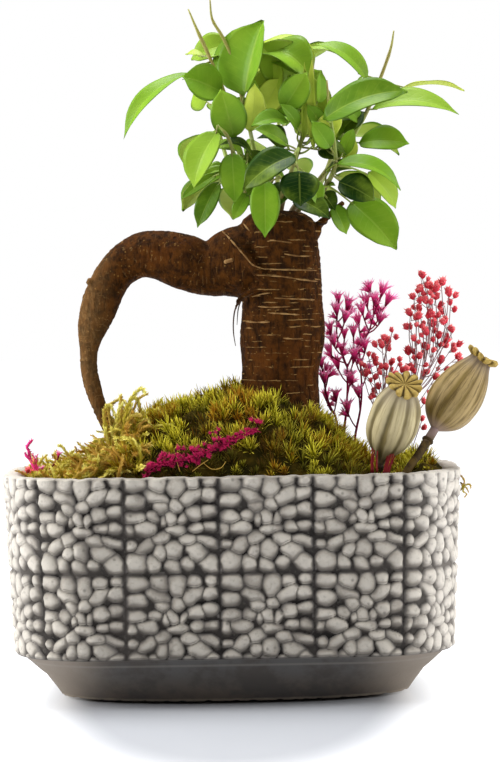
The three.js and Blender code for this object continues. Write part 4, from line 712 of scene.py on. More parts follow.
def smooth_path(path, steps):
    """Points and radii along a bent line, rounded by a Catmull-Rom curve through them."""
    knots = np.array(path, dtype=float)
    padded = np.vstack([2 * knots[0] - knots[1], knots, 2 * knots[-1] - knots[-2]])
    found = []
    for k in range(len(knots) - 1):
        p0, p1, p2, p3 = padded[k:k + 4]
        for t in np.linspace(0, 1, steps, endpoint=False):
            bend = 2 * p1 + (p2 - p0) * t + (2 * p0 - 5 * p1 + 4 * p2 - p3) * t ** 2
            found.append(0.5 * (bend + (3 * p1 - p0 - 3 * p2 + p3) * t ** 3))
    found.append(knots[-1])
    return np.array(found)


def square_pair(along):
    """Two directions square to the given one."""
    along = Vector(along).normalized()
    side = along.orthogonal().normalized()
    return side, along.cross(side)


def tube(path, sides, steps, swell=None):
    """Points and faces of a round tube along a path of x, y, z and radius."""
    line = smooth_path(path, steps)
    points = []
    side = None
    for k, (x, y, z, radius) in enumerate(line):
        before = line[max(0, k - 1)][:3]
        after = line[min(len(line) - 1, k + 1)][:3]
        along = Vector(after - before).normalized()
        if side is None:
            side = square_pair(along)[0]
        side = (side - along * side.dot(along)).normalized()
        across = along.cross(side)
        for i in range(sides):
            angle = 2 * math.pi * i / sides
            reach = radius * (swell(angle, k / (len(line) - 1)) if swell else 1)
            points.append(Vector((x, y, z)) + (side * math.cos(angle) + across * math.sin(angle)) * reach)
    return points, ring_faces(len(line), sides)


def nearest_on(stems, target):
    """The point nearest to the target on a few bent lines."""
    best = None
    for stem in stems:
        for a, b in zip(stem, stem[1:]):
            start = Vector(a[:3])
            span = Vector(b[:3]) - start
            share = max(0.0, min(1.0, (target - start).dot(span) / span.length_squared))
            point = start + span * share
            if best is None or (point - target).length < (best - target).length:
                best = point
    return best


def drawn(rng, *ranges):
    """A random arrow, each of its measures drawn from its own range."""
    return Vector([rng.uniform(low, high) for low, high in ranges])


def smoothstep(low, high, value):
    t = np.clip((value - low) / (high - low), 0, 1)
    return t * t * (3 - 2 * t)


# Pot.

def outline_points(s, inset):
    """Points of the rounded rectangle at distances s round it from the middle of the front."""
    half_straight = POT_LENGTH / 2 - CORNER_RADIUS
    side_straight = POT_WIDTH - 2 * CORNER_RADIUS
    arc = math.pi / 2 * CORNER_RADIUS
    half = PERIMETER / 2
    wrapped = np.mod(s, PERIMETER)
    sign = np.where(wrapped > half, -1.0, 1.0)
    d = np.where(wrapped > half, PERIMETER - wrapped, wrapped)
    radius = CORNER_RADIUS - inset
    yc = POT_WIDTH / 2 - CORNER_RADIUS
    front_turn = (d - half_straight) / CORNER_RADIUS
    back_turn = (d - half_straight - arc - side_straight) / CORNER_RADIUS
    runs = [
        d <= half_straight,
        d <= half_straight + arc,
        d <= half_straight + arc + side_straight,
        d <= half_straight + 2 * arc + side_straight,
    ]
    x = np.select(runs, [
        d,
        half_straight + radius * np.sin(front_turn),
        np.full_like(d, 1.0) * (POT_LENGTH / 2 - inset),
        half_straight + radius * np.cos(back_turn),
    ], half - d)
    y = np.select(runs, [
        np.full_like(d, 1.0) * (inset - POT_WIDTH / 2),
        -yc - radius * np.cos(front_turn),
        -yc + d - half_straight - arc,
        yc + radius * np.sin(back_turn),
    ], POT_WIDTH / 2 - inset)
    return sign * x, y


def oval_points(s, half_length, half_width):
    """Points of an oval in the same directions from the centre as those of the outline."""
    x, y = outline_points(s, 0 * s)
    angle = np.arctan2(y, x)
    c = np.abs(np.cos(angle) / half_length) ** FOOT_POWER
    d = np.abs(np.sin(angle) / half_width) ** FOOT_POWER
    reach = (c + d) ** (-1 / FOOT_POWER)
    return reach * np.cos(angle), reach * np.sin(angle)


def wander(u, z, waves_round, rise, start):
    """A soft wave round the pot that closes on itself."""
    return np.sin(2 * math.pi * waves_round * u / PERIMETER + rise * z + start)


def waves(u, z, *parts):
    """Soft waves added up, each given as its strength, turns round the pot, rise and start."""
    return sum(strength * wander(u, z, *wave) for strength, *wave in parts)


def pebble_heights(u, z):
    """Height of the relief from 0 in the grooves to 1 on the pebbles, at distance u round and height z."""
    wide = TILE_WIDTH / TILE_UNITS[0]
    high = TILE_HEIGHT / TILE_UNITS[1]
    shift_u = waves(u, z, (0.36, 31, 0.42, 1.3), (0.22, -53, 0.71, 0.2), (0.1, 97, -1.1, 2.0))
    shift_z = waves(u, z, (0.36, 37, -0.36, 0.4), (0.22, 61, 0.64, 2.1), (0.1, -89, 1.2, 0.9))
    lift = 1 + 0.07 * wander(u, z, 23, 0.31, 0.7) + 0.07 * wander(u, z, -43, 0.17, 1.9)
    u = np.mod(u, TILE_WIDTH)
    v = np.mod(z - TILE_SEAM_Z, TILE_HEIGHT)
    heights = np.zeros(u.shape)
    second = np.zeros(u.shape)
    for number, (x, y, half_long, half_short, turn) in enumerate(PEBBLES):
        cos = math.cos(math.radians(turn))
        sin = math.sin(math.radians(turn))
        for column in (-1, 0, 1):
            for row in (-1, 0, 1):
                du = (u + shift_u - (x * wide + column * TILE_WIDTH)) / wide / PEBBLE_GROWTH
                dv = (v + shift_z - (y * high + row * TILE_HEIGHT)) / high / PEBBLE_GROWTH
                near = (np.abs(du) < PEBBLE_REACH) & (np.abs(dv) < PEBBLE_REACH)
                if not near.any():
                    continue
                along = (du[near] * cos + dv[near] * sin) / half_long
                across = (dv[near] * cos - du[near] * sin) / half_short
                reach = np.abs(along) ** PEBBLE_SQUARENESS + np.abs(across) ** PEBBLE_SQUARENESS
                tilt = 1 + 0.16 * math.sin(2.4 * number) * along + 0.14 * math.cos(3.7 * number) * across
                crown = min(1.0, 0.66 + 0.1 * min(half_long, half_short)) * (1 + 0.08 * math.sin(5.1 * number))
                dome = crown * tilt * np.clip(1 - reach, 0, 1) ** DOME_ROUNDNESS
                second[near] = np.maximum(second[near], np.minimum(heights[near], dome))
                heights[near] = np.maximum(heights[near], dome)
    touching = np.exp(-((heights - second) / CREASE_WIDTH) ** 2) * np.clip(4 * second, 0, 1)
    heights *= lift * (1 - CREASE_DEPTH * touching)
    from_row = np.minimum(v, TILE_HEIGHT - v)
    from_column = np.minimum(u, TILE_WIDTH - u)
    ragged = 1 + 0.25 * wander(z, u, 0, 0.41, 0.4) + 0.2 * wander(z, u, 0, -0.83, 1.4)
    heights *= 1 - 0.85 * np.exp(-(from_row / (ROW_GROOVE * ragged)) ** 2)
    ragged = 1 + 0.3 * wander(u, z, 0, 1.1, 0.2)
    heights *= 1 - 0.92 * np.exp(-(from_column / (COLUMN_GROOVE * ragged)) ** 2)
    return np.clip(heights, 0, 1)


def build_pot(material):
    """The band with its pebbles, the rim, the hollow inside and the foot, with a finer skin in front."""
    first, last = FRONT_TILES
    front = np.linspace(first, last, (last - first) * FRONT_STEPS + 1)
    back = np.linspace(last, first + TILES_AROUND, (TILES_AROUND - last + first) * BACK_STEPS + 1)
    s = TILE_PHASE + TILE_WIDTH * np.concatenate([front, back[1:-1]])
    count = len(s)
    rings = []
    reliefs = []

    def add_ring(z, inset, share=0.0, oval=(FOOT_HALF_LENGTH, FOOT_HALF_WIDTH), relief=None):
        ax, ay = outline_points(s, inset + 0 * s)
        bx, by = oval_points(s, *oval)
        x = ax + (bx - ax) * share
        y = ay + (by - ay) * share
        rings.append(np.column_stack([x, y, z + 0 * s]))
        reliefs.append(np.full(count, 0.7) if relief is None else relief)

    add_ring(0, BAND_TAPER + RELIEF, 1, CLOSING_OVAL)
    for z in (0, FOOT_GAP):
        add_ring(z, BAND_TAPER + RELIEF, 1, (FOOT_HALF_LENGTH - FOOT_RECESS, FOOT_HALF_WIDTH - FOOT_RECESS))
    foot = [
        (FOOT_GAP, 0.99), (FOOT_GAP + 0.5, 0.975), (3.9, 0.91), (6, 0.84), (8.6, 0.74), (12.6, 0.6),
        (15.6, 0.44), (18.6, 0.3), (20.4, 0.22), (20.9, 0.19), (23.2, 0.1),
    ]
    for z, share in foot:
        chips = wander(s, 0, 61, 0, 0.5) + wander(s, 0, 37, 0, 2.5)
        chips = 0.22 * np.clip(chips, 0, 2) if z == FOOT_GAP else 0
        add_ring(z + chips, BAND_TAPER + RELIEF, share)
    top = POT_HEIGHT - 1
    for row in range(BAND_ROWS + 1):
        z = BAND_BOTTOM + (top - BAND_BOTTOM) * row / BAND_ROWS
        relief = pebble_heights(s - TILE_PHASE, np.full(count, z))
        relief *= smoothstep(-0.4, 1.6, z - BAND_BOTTOM)
        relief = np.maximum(relief, 0.6 * smoothstep(top - 0.7, top, z))
        inset = BAND_TAPER * (POT_HEIGHT - z) / (POT_HEIGHT - BAND_BOTTOM)
        ends = smoothstep(92, 112, np.abs(outline_points(s, 0 * s)[0]))
        depth = RELIEF * (1 - 0.3 * ends) * (1 - relief)
        add_ring(z, inset + depth, relief=relief)
    unevenness = waves(s, 0, (0.22, 19, 0, 0.3), (0.18, 47, 0, 1.1), (0.14, 83, 0, 2.2))
    rim_profile = [
        (POT_HEIGHT - 0.35, 1.5), (POT_HEIGHT, 2.5), (POT_HEIGHT, 4.5), (POT_HEIGHT - 0.2, WALL - 1.4),
        (POT_HEIGHT - 0.9, WALL - 0.3), (POT_HEIGHT - 2.4, WALL),
    ]
    for z, inset in rim_profile:
        add_ring(z + np.minimum(0, unevenness - 0.2), inset, relief=np.full(count, 0.55))
    add_ring(70, WALL + BAND_TAPER / 2)
    add_ring(CAVITY_KNEE_Z, WALL + BAND_TAPER)
    add_ring(FLOOR_Z, WALL + BAND_TAPER, 1, (FLOOR_HALF_LENGTH, FLOOR_HALF_WIDTH))
    add_ring(FLOOR_Z, WALL + BAND_TAPER, 1, CLOSING_OVAL)
    skin = np.array(rings)
    below = np.array(reliefs)
    # Painted shade: where the relief climbs upwards, on the lower side of each pebble, the finish darkens the
    # colour.
    climb = np.zeros(below.shape)
    climb[2:-2] = (below[4:] - below[:-4]) * 0.7
    underside_shades = smoothstep(0.02, 0.4, climb)
    seam = len(front)
    for name, columns in (("front", np.arange(seam)), ("back", np.append(np.arange(seam - 1, count), 0))):
        wide = len(columns)
        corner = (np.arange(len(rings) - 1)[:, None] * wide + np.arange(wide - 1)).ravel()
        faces = np.column_stack([corner, corner + 1, corner + wide + 1, corner + wide]).tolist()
        piece = new_piece("pot_" + name, skin[:, columns].reshape(-1, 3), faces, material)
        give_values(piece, "relief", below[:, columns].ravel())
        give_values(piece, "underside_shade", underside_shades[:, columns].ravel())
        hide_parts("pot")


# Trunk.

def limb_swell(angle, share):
    """The slight fluting of the bark round a limb."""
    return 1 + 0.03 * math.sin(3 * angle + 9 * share) + 0.02 * math.sin(5 * angle - 14 * share)


def build_trunk(material, hair_material, line_material):
    """The limbs fused in one skin, with wrinkled bark, and a few hair roots on them."""
    shape = Shape()
    for path in (TRUNK_PATH, ARCH_PATH):
        shape.add(*tube(path, 48, 6, limb_swell))
    for path in (RIDGE_PATH, LOWER_ROOT_PATH, SPUR_PATH, STUB_PATH, KNOB_PATH):
        shape.add(*tube(path, 14, 6))
    draft = new_piece("trunk_draft", shape.points, shape.faces, material)
    remesh = draft.modifiers.new("fuse", "REMESH")
    remesh.mode = "VOXEL"
    remesh.voxel_size = TRUNK_VOXEL * MM
    smooth = draft.modifiers.new("smooth", "SMOOTH")
    smooth.factor = 0.5
    smooth.iterations = 4
    fused = bpy.data.meshes.new_from_object(draft.evaluated_get(bpy.context.evaluated_depsgraph_get()))
    count = len(fused.vertices)
    places = np.empty(count * 3)
    fused.vertices.foreach_get("co", places)
    places = places.reshape(-1, 3) / MM
    normals = np.empty(count * 3)
    fused.vertex_normals.foreach_get("vector", normals)
    normals = normals.reshape(-1, 3)
    faces = [tuple(polygon.vertices) for polygon in fused.polygons]
    bpy.data.objects.remove(draft)
    bpy.data.meshes.remove(fused)

    along, on_arch = limb_distance(places)
    heights = np.array([bark_height(Vector(place), s, arch) for place, s, arch in zip(places, along, on_arch)])
    places = places + normals * heights[:, None]
    trunk = new_piece("trunk_wood", places, faces, material)
    give_values(trunk, "along", along)
    give_values(trunk, "arch", on_arch)
    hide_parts("trunk")

    hairs = Shape()
    for path in HAIR_ROOTS:
        hairs.add(*tube(path, 6, 4))
    hairs.piece("trunk_hair_roots", hair_material, "bark")

    bark = BVHTree.FromPolygons([Vector(point) for point in places], faces)
    lines = Shape()
    for number, line in enumerate([*BARK_LINES, BARK_SCAR]):
        path = []
        for k, (x, z) in enumerate(smooth_path(line, 4)):
            spot = bark.ray_cast(Vector((x, -80, z)), Vector((0, 1, 0)))[0]
            if spot:
                radius = 1.1 if number == len(BARK_LINES) else 0.42 + 0.1 * math.sin(2.1 * k + number)
                path.append((x, spot.y + 0.35 * radius, z, radius))
        for end in (0, -1):
            path[end] = (*path[end][:3], path[end][3] * 0.4)
        lines.add(*tube(path, 6, 2))
    lines.piece("trunk_bark_lines", line_material, "bark")


def limb_distance(places):
    """How far along its limb each point lies, and whether the limb is the arching root."""
    arch = smooth_path(ARCH_PATH, 8)
    steps = np.linalg.norm(np.diff(arch[:, :3], axis=0), axis=1)
    arch_along = np.concatenate([[0], np.cumsum(steps)])
    to_arch = np.linalg.norm(places[:, None, :] - arch[None, :, :3], axis=2) - arch[None, :, 3]
    nearest = to_arch.argmin(axis=1)
    arch_gap = to_arch.min(axis=1)
    trunk = smooth_path(TRUNK_PATH, 4)
    radius = np.interp(places[:, 2], trunk[:, 2], trunk[:, 3])
    trunk_gap = np.hypot(places[:, 0] - TRUNK_AXIS_X, places[:, 1]) - radius
    on_arch = smoothstep(-1.5, 1.5, trunk_gap - arch_gap)
    along = np.where(on_arch > 0.5, arch_along[nearest], places[:, 2])
    return along, on_arch


def bark_height(place, along, on_arch):
    """Fine folds across the limb, pores along it and a soft unevenness, in millimetres."""
    uneven = 0.5 * noise.noise(place * 0.055) + 0.25 * noise.noise(place * 0.16)
    wobble = 1.2 * noise.noise(place * 0.09)
    folded = max(0.0, noise.noise(place * 0.12 + Vector((7, 3, 1))) + 0.25)
    folds = 0.22 * math.sin((along + wobble) * 1.9) * folded
    upward = 0.9 if on_arch > 0.5 else 0.3
    pores = 0.22 * noise.noise(Vector((place.x * 0.9, place.y * 0.9, place.z * upward)))
    return uneven + folds + pores


# Leafy shoots.

def blade_half_width(t):
    """Half width of a leaf along its length, as a share of the widest, with a drawn-out tip."""
    share = t ** 0.62 * (1 - t) ** 0.78 / 0.388
    return max(0.0, share * (1 - 0.5 * float(smoothstep(0.82, 0.96, t)))) + 0.035


def add_leaf(blades, twigs, leaf, stems, rng):
    """A folded, slightly waved blade with two faces, and its stalk from the stem."""
    base, tip, width, face, arch, tint, *own_fold = leaf
    fold_depth = own_fold[0] if own_fold else BLADE_FOLD
    base = Vector(base)
    along = Vector(tip) - base
    length = along.length
    along.normalize()
    side = along.cross(Vector(face)).normalized()
    lift = side.cross(along)
    half = width / 2 * 1.06
    turn = rng.uniform(-0.25, 0.25)
    phase = rng.uniform(0, 6.3)
    wave = rng.uniform(0.02, 0.06) * width
    droop = rng.uniform(0.02, 0.07) * length
    points = []
    alongs, acrosses, sides = [], [], []
    top = {}
    under = {}

    def place(r, c, below):
        t = r / LEAF_ROWS
        u = c / LEAF_COLUMNS
        wide = half * blade_half_width(t)
        fold = fold_depth * wide * (math.sqrt(u * u + 0.03) - 0.17)
        curl = wave * u * u * math.sin(7 * t + phase + (1.5 if u > 0 else 0)) * min(1, 4 * t)
        up = 4 * arch * length * t * (1 - t) + fold + curl - droop * t ** 4
        up -= 0.22 * math.exp(-(u * 7) ** 2) * min(1, 3 * (1 - t))
        if below:
            up -= LEAF_THICKNESS * (1 - u * u)
        twist = turn * (t - 0.4)
        out = wide * u
        spot = base + along * (length * t) + side * (out * math.cos(twist))
        spot = spot + lift * (up + out * math.sin(twist))
        points.append(spot)
        alongs.append(t)
        acrosses.append(u)
        sides.append(0.0 if below else 1.0)
        return len(points) - 1

    for r in range(LEAF_ROWS + 1):
        for c in range(-LEAF_COLUMNS, LEAF_COLUMNS + 1):
            top[r, c] = place(r, c, False)
            rim = abs(c) == LEAF_COLUMNS or r in (0, LEAF_ROWS)
            under[r, c] = top[r, c] if rim else place(r, c, True)
    faces = []
    for r in range(LEAF_ROWS):
        for c in range(-LEAF_COLUMNS, LEAF_COLUMNS):
            faces.append((top[r, c], top[r, c + 1], top[r + 1, c + 1], top[r + 1, c]))
            faces.append((under[r, c], under[r + 1, c], under[r + 1, c + 1], under[r, c + 1]))
    blades.add(points, faces, along=alongs, across=acrosses, upper=sides, tint=tint + rng.uniform(-0.06, 0.06))

    root = nearest_on(stems, base - along * 5)
    middle = (root + base) / 2 + lift * 0.6
    stalk = [(*root, 0.62), (*middle, 0.5), (*(base + along * 2.5), 0.4)]
    twigs.add(*tube(stalk, 7, 3), young=0.65)


def build_shoots(leaf_material, stem_material):
    """The blades and the stems of each shoot, as two pieces."""
    for name, shoot in SHOOTS.items():
        rng = random.Random("shoot " + name)
        blades = Shape("along", "across", "upper", "tint")
        twigs = Shape("young")
        stem = shoot["stem"]
        x, y, z, r = stem[0]
        line = [(x, y, z - 6, r), *stem]
        line = [(a, b, c, radius * STEM_SHARE) for a, b, c, radius in line]
        points, faces = tube(line, 9, 5, lambda angle, share: 1 + 0.18 * max(0, math.sin(38 * share)) ** 8)
        twigs.add(points, faces, young=[min(1, max(0, (p.z - 244) / 60)) for p in points])
        for leaf in shoot["leaves"]:
            add_leaf(blades, twigs, leaf, [stem], rng)
        made = blades.piece("leaves_" + name, leaf_material, "leaf")
        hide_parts("shoot_" + name)
        made = twigs.piece("stems_" + name, stem_material, "leaf")
        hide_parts("shoot_" + name)


# Moss.

def ridge_height(x):
    xs, zs = zip(*MOSS_RIDGE)
    return np.interp(x, xs, zs)


def moss_height(x, y):
    """Height of the mound: a ridge along the pot that falls to the rim, with soft lumps."""
    reach = np.minimum(1, np.abs(y) / MOSS_HALF_WIDTH)
    ridge = ridge_height(x)
    edge = np.minimum(MOSS_EDGE, ridge)
    lumps = 1.6 * np.sin(0.31 * x + 0.4) * np.cos(0.27 * y) + 1.2 * np.sin(0.53 * y + 0.17 * x)
    return edge + (ridge - edge) * (1 - reach ** 2.6) + lumps * (1 - reach ** 4)


def moss_normal(x, y):
    step = 2.0
    slope_x = float(moss_height(x + step, y) - moss_height(x - step, y)) / (2 * step)
    slope_y = float(moss_height(x, y + step) - moss_height(x, y - step)) / (2 * step)
    return Vector((-slope_x, -slope_y, 1)).normalized()


def build_mound(material):
    """The dark packed moss under the tufts, down to the soil."""
    s = np.arange(MOUND_COLUMNS) * PERIMETER / MOUND_COLUMNS
    ax, ay = outline_points(s, WALL + 1.0 + 0 * s)
    rings = [np.column_stack([ax, ay, np.full(MOUND_COLUMNS, MOSS_BASE)])]
    for share in np.linspace(1, 0.02, MOUND_ROWS):
        x = ax * share
        y = ay * share
        z = moss_height(x, y) - 1.5
        bumps = [
            noise.noise(Vector((a * 0.22, b * 0.22, 3))) * 1.8
            + noise.noise(Vector((a * 0.6, b * 0.6, 9))) * 0.8
            for a, b in zip(x, y)
        ]
        z = np.maximum(z + np.array(bumps) * min(1, 8 * (1 - share) + 0.1), MOSS_BASE + 0.5)
        rings.append(np.column_stack([x, y, z]))
    mound = new_piece("moss_mound", np.vstack(rings), ring_faces(len(rings), MOUND_COLUMNS), material)
    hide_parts("moss")


def add_moss_blade(shape, root, along, bend, length, width, tone, shade):
    """One pointed moss leaf, folded along its middle and bending outwards."""
    side = along.cross(bend)
    if side.length < 0.01:
        side = along.orthogonal()
    side.normalize()
    lift = side.cross(along)
    points = []
    tips = []
    for t, share in MOSS_BLADE:
        middle = root + along * (length * t) + bend * (length * 0.45 * t * t)
        points.append(middle - side * (width / 2 * share))
        points.append(middle - lift * (width * 0.22 * share))
        points.append(middle + side * (width / 2 * share))
        tips.extend([t, t, t])
    points.append(root + along * length + bend * (length * 0.45))
    tips.append(1.0)
    faces = []
    last = len(MOSS_BLADE) - 1
    for k in range(last):
        a = 3 * k
        faces += [(a, a + 1, a + 4, a + 3), (a + 1, a + 2, a + 5, a + 4)]
    a = 3 * last
    faces += [(a, a + 1, a + 3), (a + 1, a + 2, a + 3)]
    shape.add(points, faces, tip=tips, tone=tone, shade=shade)


def add_tuft(shape, place, up, reach, count, rng, tone, shade):
    """A brush of moss leaves round one shoot tip."""
    first = up.orthogonal().normalized()
    second = up.cross(first)
    for i in range(count):
        angle = SPIRAL_TURN * i + rng.uniform(-0.4, 0.4)
        out = first * math.cos(angle) + second * math.sin(angle)
        spread = i / count
        along = (up + out * (0.12 + 0.85 * spread)).normalized()
        length = reach * rng.uniform(0.75, 1.2) * (1.1 - 0.4 * spread)
        blade_tone = min(1, max(0, tone + rng.uniform(-0.2, 0.2)))
        root = place - up * (2.2 * spread) + out * 0.4
        bend = (out * rng.uniform(0.2, 0.9) + Vector((0, 0, rng.uniform(-0.3, 0.15)))) * spread
        add_moss_blade(shape, root, along, bend + out * 0.05, length, rng.uniform(0.55, 0.9), blade_tone, shade)


def inside_cavity(x, y, margin):
    """Whether a place lies inside the pot's mouth by at least a margin."""
    half_x = POT_LENGTH / 2 - WALL - margin
    half_y = POT_WIDTH / 2 - WALL - margin
    r = CORNER_RADIUS - WALL - margin
    dx = max(0, abs(x) - (half_x - r))
    dy = max(0, abs(y) - (half_y - r))
    return math.hypot(dx, dy) <= r and abs(x) <= half_x and abs(y) <= half_y


def clear_of_growth(x, y):
    """Whether a place is clear of the trunk, the root and the poppy stalks."""
    trunks = math.hypot(x - 25, y) > 21.5 and math.hypot(x + 56, y + 7) > 4.5
    share = max(0.0, min(1.0, ((x - 84) * 14 + (y + 50) * 20) / (14 ** 2 + 20 ** 2)))
    stalks = math.hypot(x - 76, y + 30) > 5 and math.hypot(x - 84 - 14 * share, y + 50 - 20 * share) > 4
    return trunks and stalks and not (66 < x < 86 and y < -42)


def clump(x, y):
    """Clumps of the moss from -1 in the gaps to 1 on their crowns."""
    wide = noise.noise(Vector((x * 0.085, y * 0.085, 11)))
    return max(-1.0, min(1.0, 1.9 * wide + 0.7 * noise.noise(Vector((x * 0.2, y * 0.2, 2)))))


def build_tufts(material):
    """Brushes of moss all over the mound in three pieces, shorter at the rim and darker between clumps."""
    rng = random.Random("moss tufts")
    parts = {name: Shape("tip", "tone", "shade") for name in ("left", "middle", "right")}
    x = -106.0
    while x < 107:
        y = -57.0
        while y < 57:
            px = x + rng.uniform(-1.8, 1.8)
            py = y + rng.uniform(-1.8, 1.8)
            y += MOSS_SPACING
            if not inside_cavity(px, py, 1.2) or not clear_of_growth(px, py):
                continue
            crown = clump(px, py)
            feathery = px < -66 + 10 * crown
            if (feathery and rng.random() < 0.5) or px > 101 or px < -100:
                continue
            z = float(moss_height(px, py)) - 2.6 + 3.2 * crown
            patch = noise.noise(Vector((px * 0.05, py * 0.05, 4)))
            tone = 0.55 + 0.5 * patch + 0.18 * crown + rng.uniform(-0.22, 0.22)
            lean = Vector((rng.uniform(-0.45, 0.45), rng.uniform(-0.45, 0.45), 0.55))
            up = (moss_normal(px, py) + lean).normalized()
            reach = rng.uniform(5.6, 8.6)
            if not inside_cavity(px, py, 6) or feathery:
                reach *= 0.66
            if px > 62 and py < -8:
                reach *= 0.72
            # Painted shade: darkest in the gaps between clumps and on tufts near the front wall.
            shade = 0.5 - 0.6 * crown + 0.6 * float(smoothstep(-40, -54, py)) * rng.uniform(0.3, 1.2)
            name = "left" if px < -34 else "middle" if px < 22 else "right"
            add_tuft(parts[name], Vector((px, py, z)), up, reach, rng.randint(17, 21), rng, tone, shade)
        x += MOSS_SPACING
    for name, shape in parts.items():
        tufts = shape.piece("moss_tufts_" + name, material, "moss")
        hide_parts("moss")


def frond_path(root, direction, length, curl):
    """The curling line of a moss shoot."""
    place = root.copy()
    heading = direction.normalized()
    path = []
    for _ in range(FROND_STEPS):
        path.append(tuple(place))
        place = place + heading * (length / (FROND_STEPS - 1))
        heading = (heading + curl * (2.4 / FROND_STEPS)).normalized()
    return path


def add_frond(shape, path, rng, tone, girth):
    """A plump moss shoot: a tapering stem along a path, covered in small overlapping leaves."""
    last = len(path) - 1
    path = [(*spot, girth * (1 - 0.85 * (k / last) ** 2)) for k, spot in enumerate(path)]
    length = sum(math.dist(a[:3], b[:3]) for a, b in zip(path, path[1:]))
    points, faces = tube(path, 5, 2)
    rings = len(points) // 5
    tips = [0.1 + 0.6 * (i // 5 / rings) for i in range(len(points))]
    shape.add(points, faces, tip=tips, tone=tone, shade=0.0)
    spots = smooth_path(path, max(2, round(length / last / (0.85 * girth))))
    for k in range(1, len(spots) - 1):
        middle = Vector(spots[k][:3])
        radius = spots[k][3]
        along = (Vector(spots[k + 1][:3]) - middle).normalized()
        side, across = square_pair(along)
        share = k / len(spots)
        for i in range(3):
            angle = 2.1 * i + SPIRAL_TURN * k
            out = side * math.cos(angle) + across * math.sin(angle)
            edge = along.cross(out) * (0.6 * girth)
            base = middle + out * (0.8 * radius)
            heading = (along + out * rng.uniform(0.2, 0.8)).normalized()
            wings = base + heading * (1.0 * girth) - out * (0.2 * girth)
            point = base + heading * (rng.uniform(2.2, 3.6) * girth)
            bright = 0.2 + 0.75 * share
            shape.add(
                [base, wings + edge, wings - edge, point], [(0, 1, 3), (0, 3, 2)],
                tip=[bright * 0.5, bright, bright, min(1, bright + 0.15)], tone=tone, shade=0.0,
            )


def build_fronds(material):
    """Golden feathery moss over the left part, with a few fronds that curl up high."""
    rng = random.Random("moss fronds")
    shape = Shape("tip", "tone", "shade")
    for _ in range(FROND_COUNT):
        x = rng.uniform(-103, -42)
        y = rng.uniform(-56, 50)
        if not inside_cavity(x, y, 2.5) or not clear_of_growth(x, y):
            continue
        z = float(moss_height(x, y)) - 1.5
        up = moss_normal(x, y)
        direction = up * 0.35 + drawn(rng, (-1, 1), (-0.8, 0.4), (-0.1, 0.3))
        curl = drawn(rng, (-0.7, 0.7), (-0.5, 0.3), (-0.5, 0.15))
        path = frond_path(Vector((x, y, z)), direction, rng.uniform(9, 18), curl)
        if all(spot[2] > POT_HEIGHT + 1 or inside_cavity(spot[0], spot[1], 1.5) for spot in path):
            add_frond(shape, path, rng, rng.uniform(0.0, 1.0), rng.uniform(0.55, 1.1))
    for path in HIGH_STRANDS:
        add_frond(shape, path, rng, rng.uniform(0.25, 0.95), rng.uniform(0.65, 0.9))
        for _ in range(2):
            shift = drawn(rng, (-2.2, 2.2), (-3, 3), (-5, -1))
            beside = [tuple(Vector(spot) + shift * (1 - 0.3 * k)) for k, spot in enumerate(path[:4])]
            add_frond(shape, beside, rng, rng.uniform(0.0, 0.3), rng.uniform(0.5, 0.75))
    for path in RIM_SCRAP:
        add_frond(shape, path, rng, 0.0, 0.42)
    for path in LOOSE_ROOTS:
        shape.add(*tube(path, 6, 5), tip=0.9, tone=0.1, shade=0.0)
    fronds = shape.piece("moss_fronds", material, "moss")
    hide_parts("moss")


# Dried flowers.

def spray_stems(shape, stems, thin):
    """The stems of a spray, drawn finer than in its solid."""
    for stem in stems:
        path = [(x, y, z, r * thin) for x, y, z, r in stem]
        shape.add(*tube(path, 6, 4), tip=0.0)


def lathe(shape, foot, along, profile, sides, ripple=None, **values):
    """A turned form on an axis, from heights and radii in millimetres."""
    side, across = square_pair(along)
    along = Vector(along).normalized()
    points = []
    for height, radius in profile:
        for i in range(sides):
            angle = 2 * math.pi * i / sides
            r = radius * (ripple(angle, height) if ripple else 1)
            points.append(foot + along * height + (side * math.cos(angle) + across * math.sin(angle)) * r)
    shape.add(points, ring_faces(len(profile), sides), **values)


def add_spike(shape, root, tip, width, value_root, value_tip, **values):
    """A fine three-sided point."""
    side, across = square_pair(tip - root)
    ring = [root + (side * math.cos(a) + across * math.sin(a)) * width for a in (0, 2.094, 4.189)]
    faces = [(0, 1, 3), (1, 2, 3), (2, 0, 3), (2, 1, 0)]
    shape.add([*ring, tip], faces, tip=[value_root] * 3 + [value_tip], **values)


def add_calyx(shape, foot, along, size, rng):
    """A tapering dark tube that ends in a star of fine bright points."""
    along = along.normalized()
    profile = [(0, 0.4), *((height * size, radius * size) for height, radius in CALYX)]
    tips = [0.7 * (height / profile[-1][0]) ** 1.3 for height, _ in profile for _ in range(CALYX_SIDES)]
    lathe(
        shape, foot, along, profile, CALYX_SIDES, lambda angle, height: 1 + 0.14 * math.sin(3 * angle),
        tip=tips,
    )
    side, across = square_pair(along)
    for i in range(CALYX_POINTS):
        angle = 2 * math.pi * (i + rng.uniform(-0.35, 0.35)) / CALYX_POINTS * 2
        out = side * math.cos(angle) + across * math.sin(angle)
        spread = rng.uniform(0.1, 1.8)
        root = foot + along * (4.4 * size) + out * (1.1 * size)
        heading = (along + out * spread).normalized()
        tip = root + heading * (rng.uniform(2.8, 4.8) * size)
        add_spike(shape, root, tip, 0.6 * size, 0.75, 1.0)


def add_floret_twig(shape, root, foot, radius):
    """A thin twig from the stem to the foot of a floret, sagging a little."""
    if (foot - root).length > 0.5:
        middle = (root + foot) / 2 + Vector((0, 0, -0.8))
        shape.add(*tube([(*root, radius), (*middle, radius * 0.9), (*foot, radius)], 5, 2), tip=0.0)


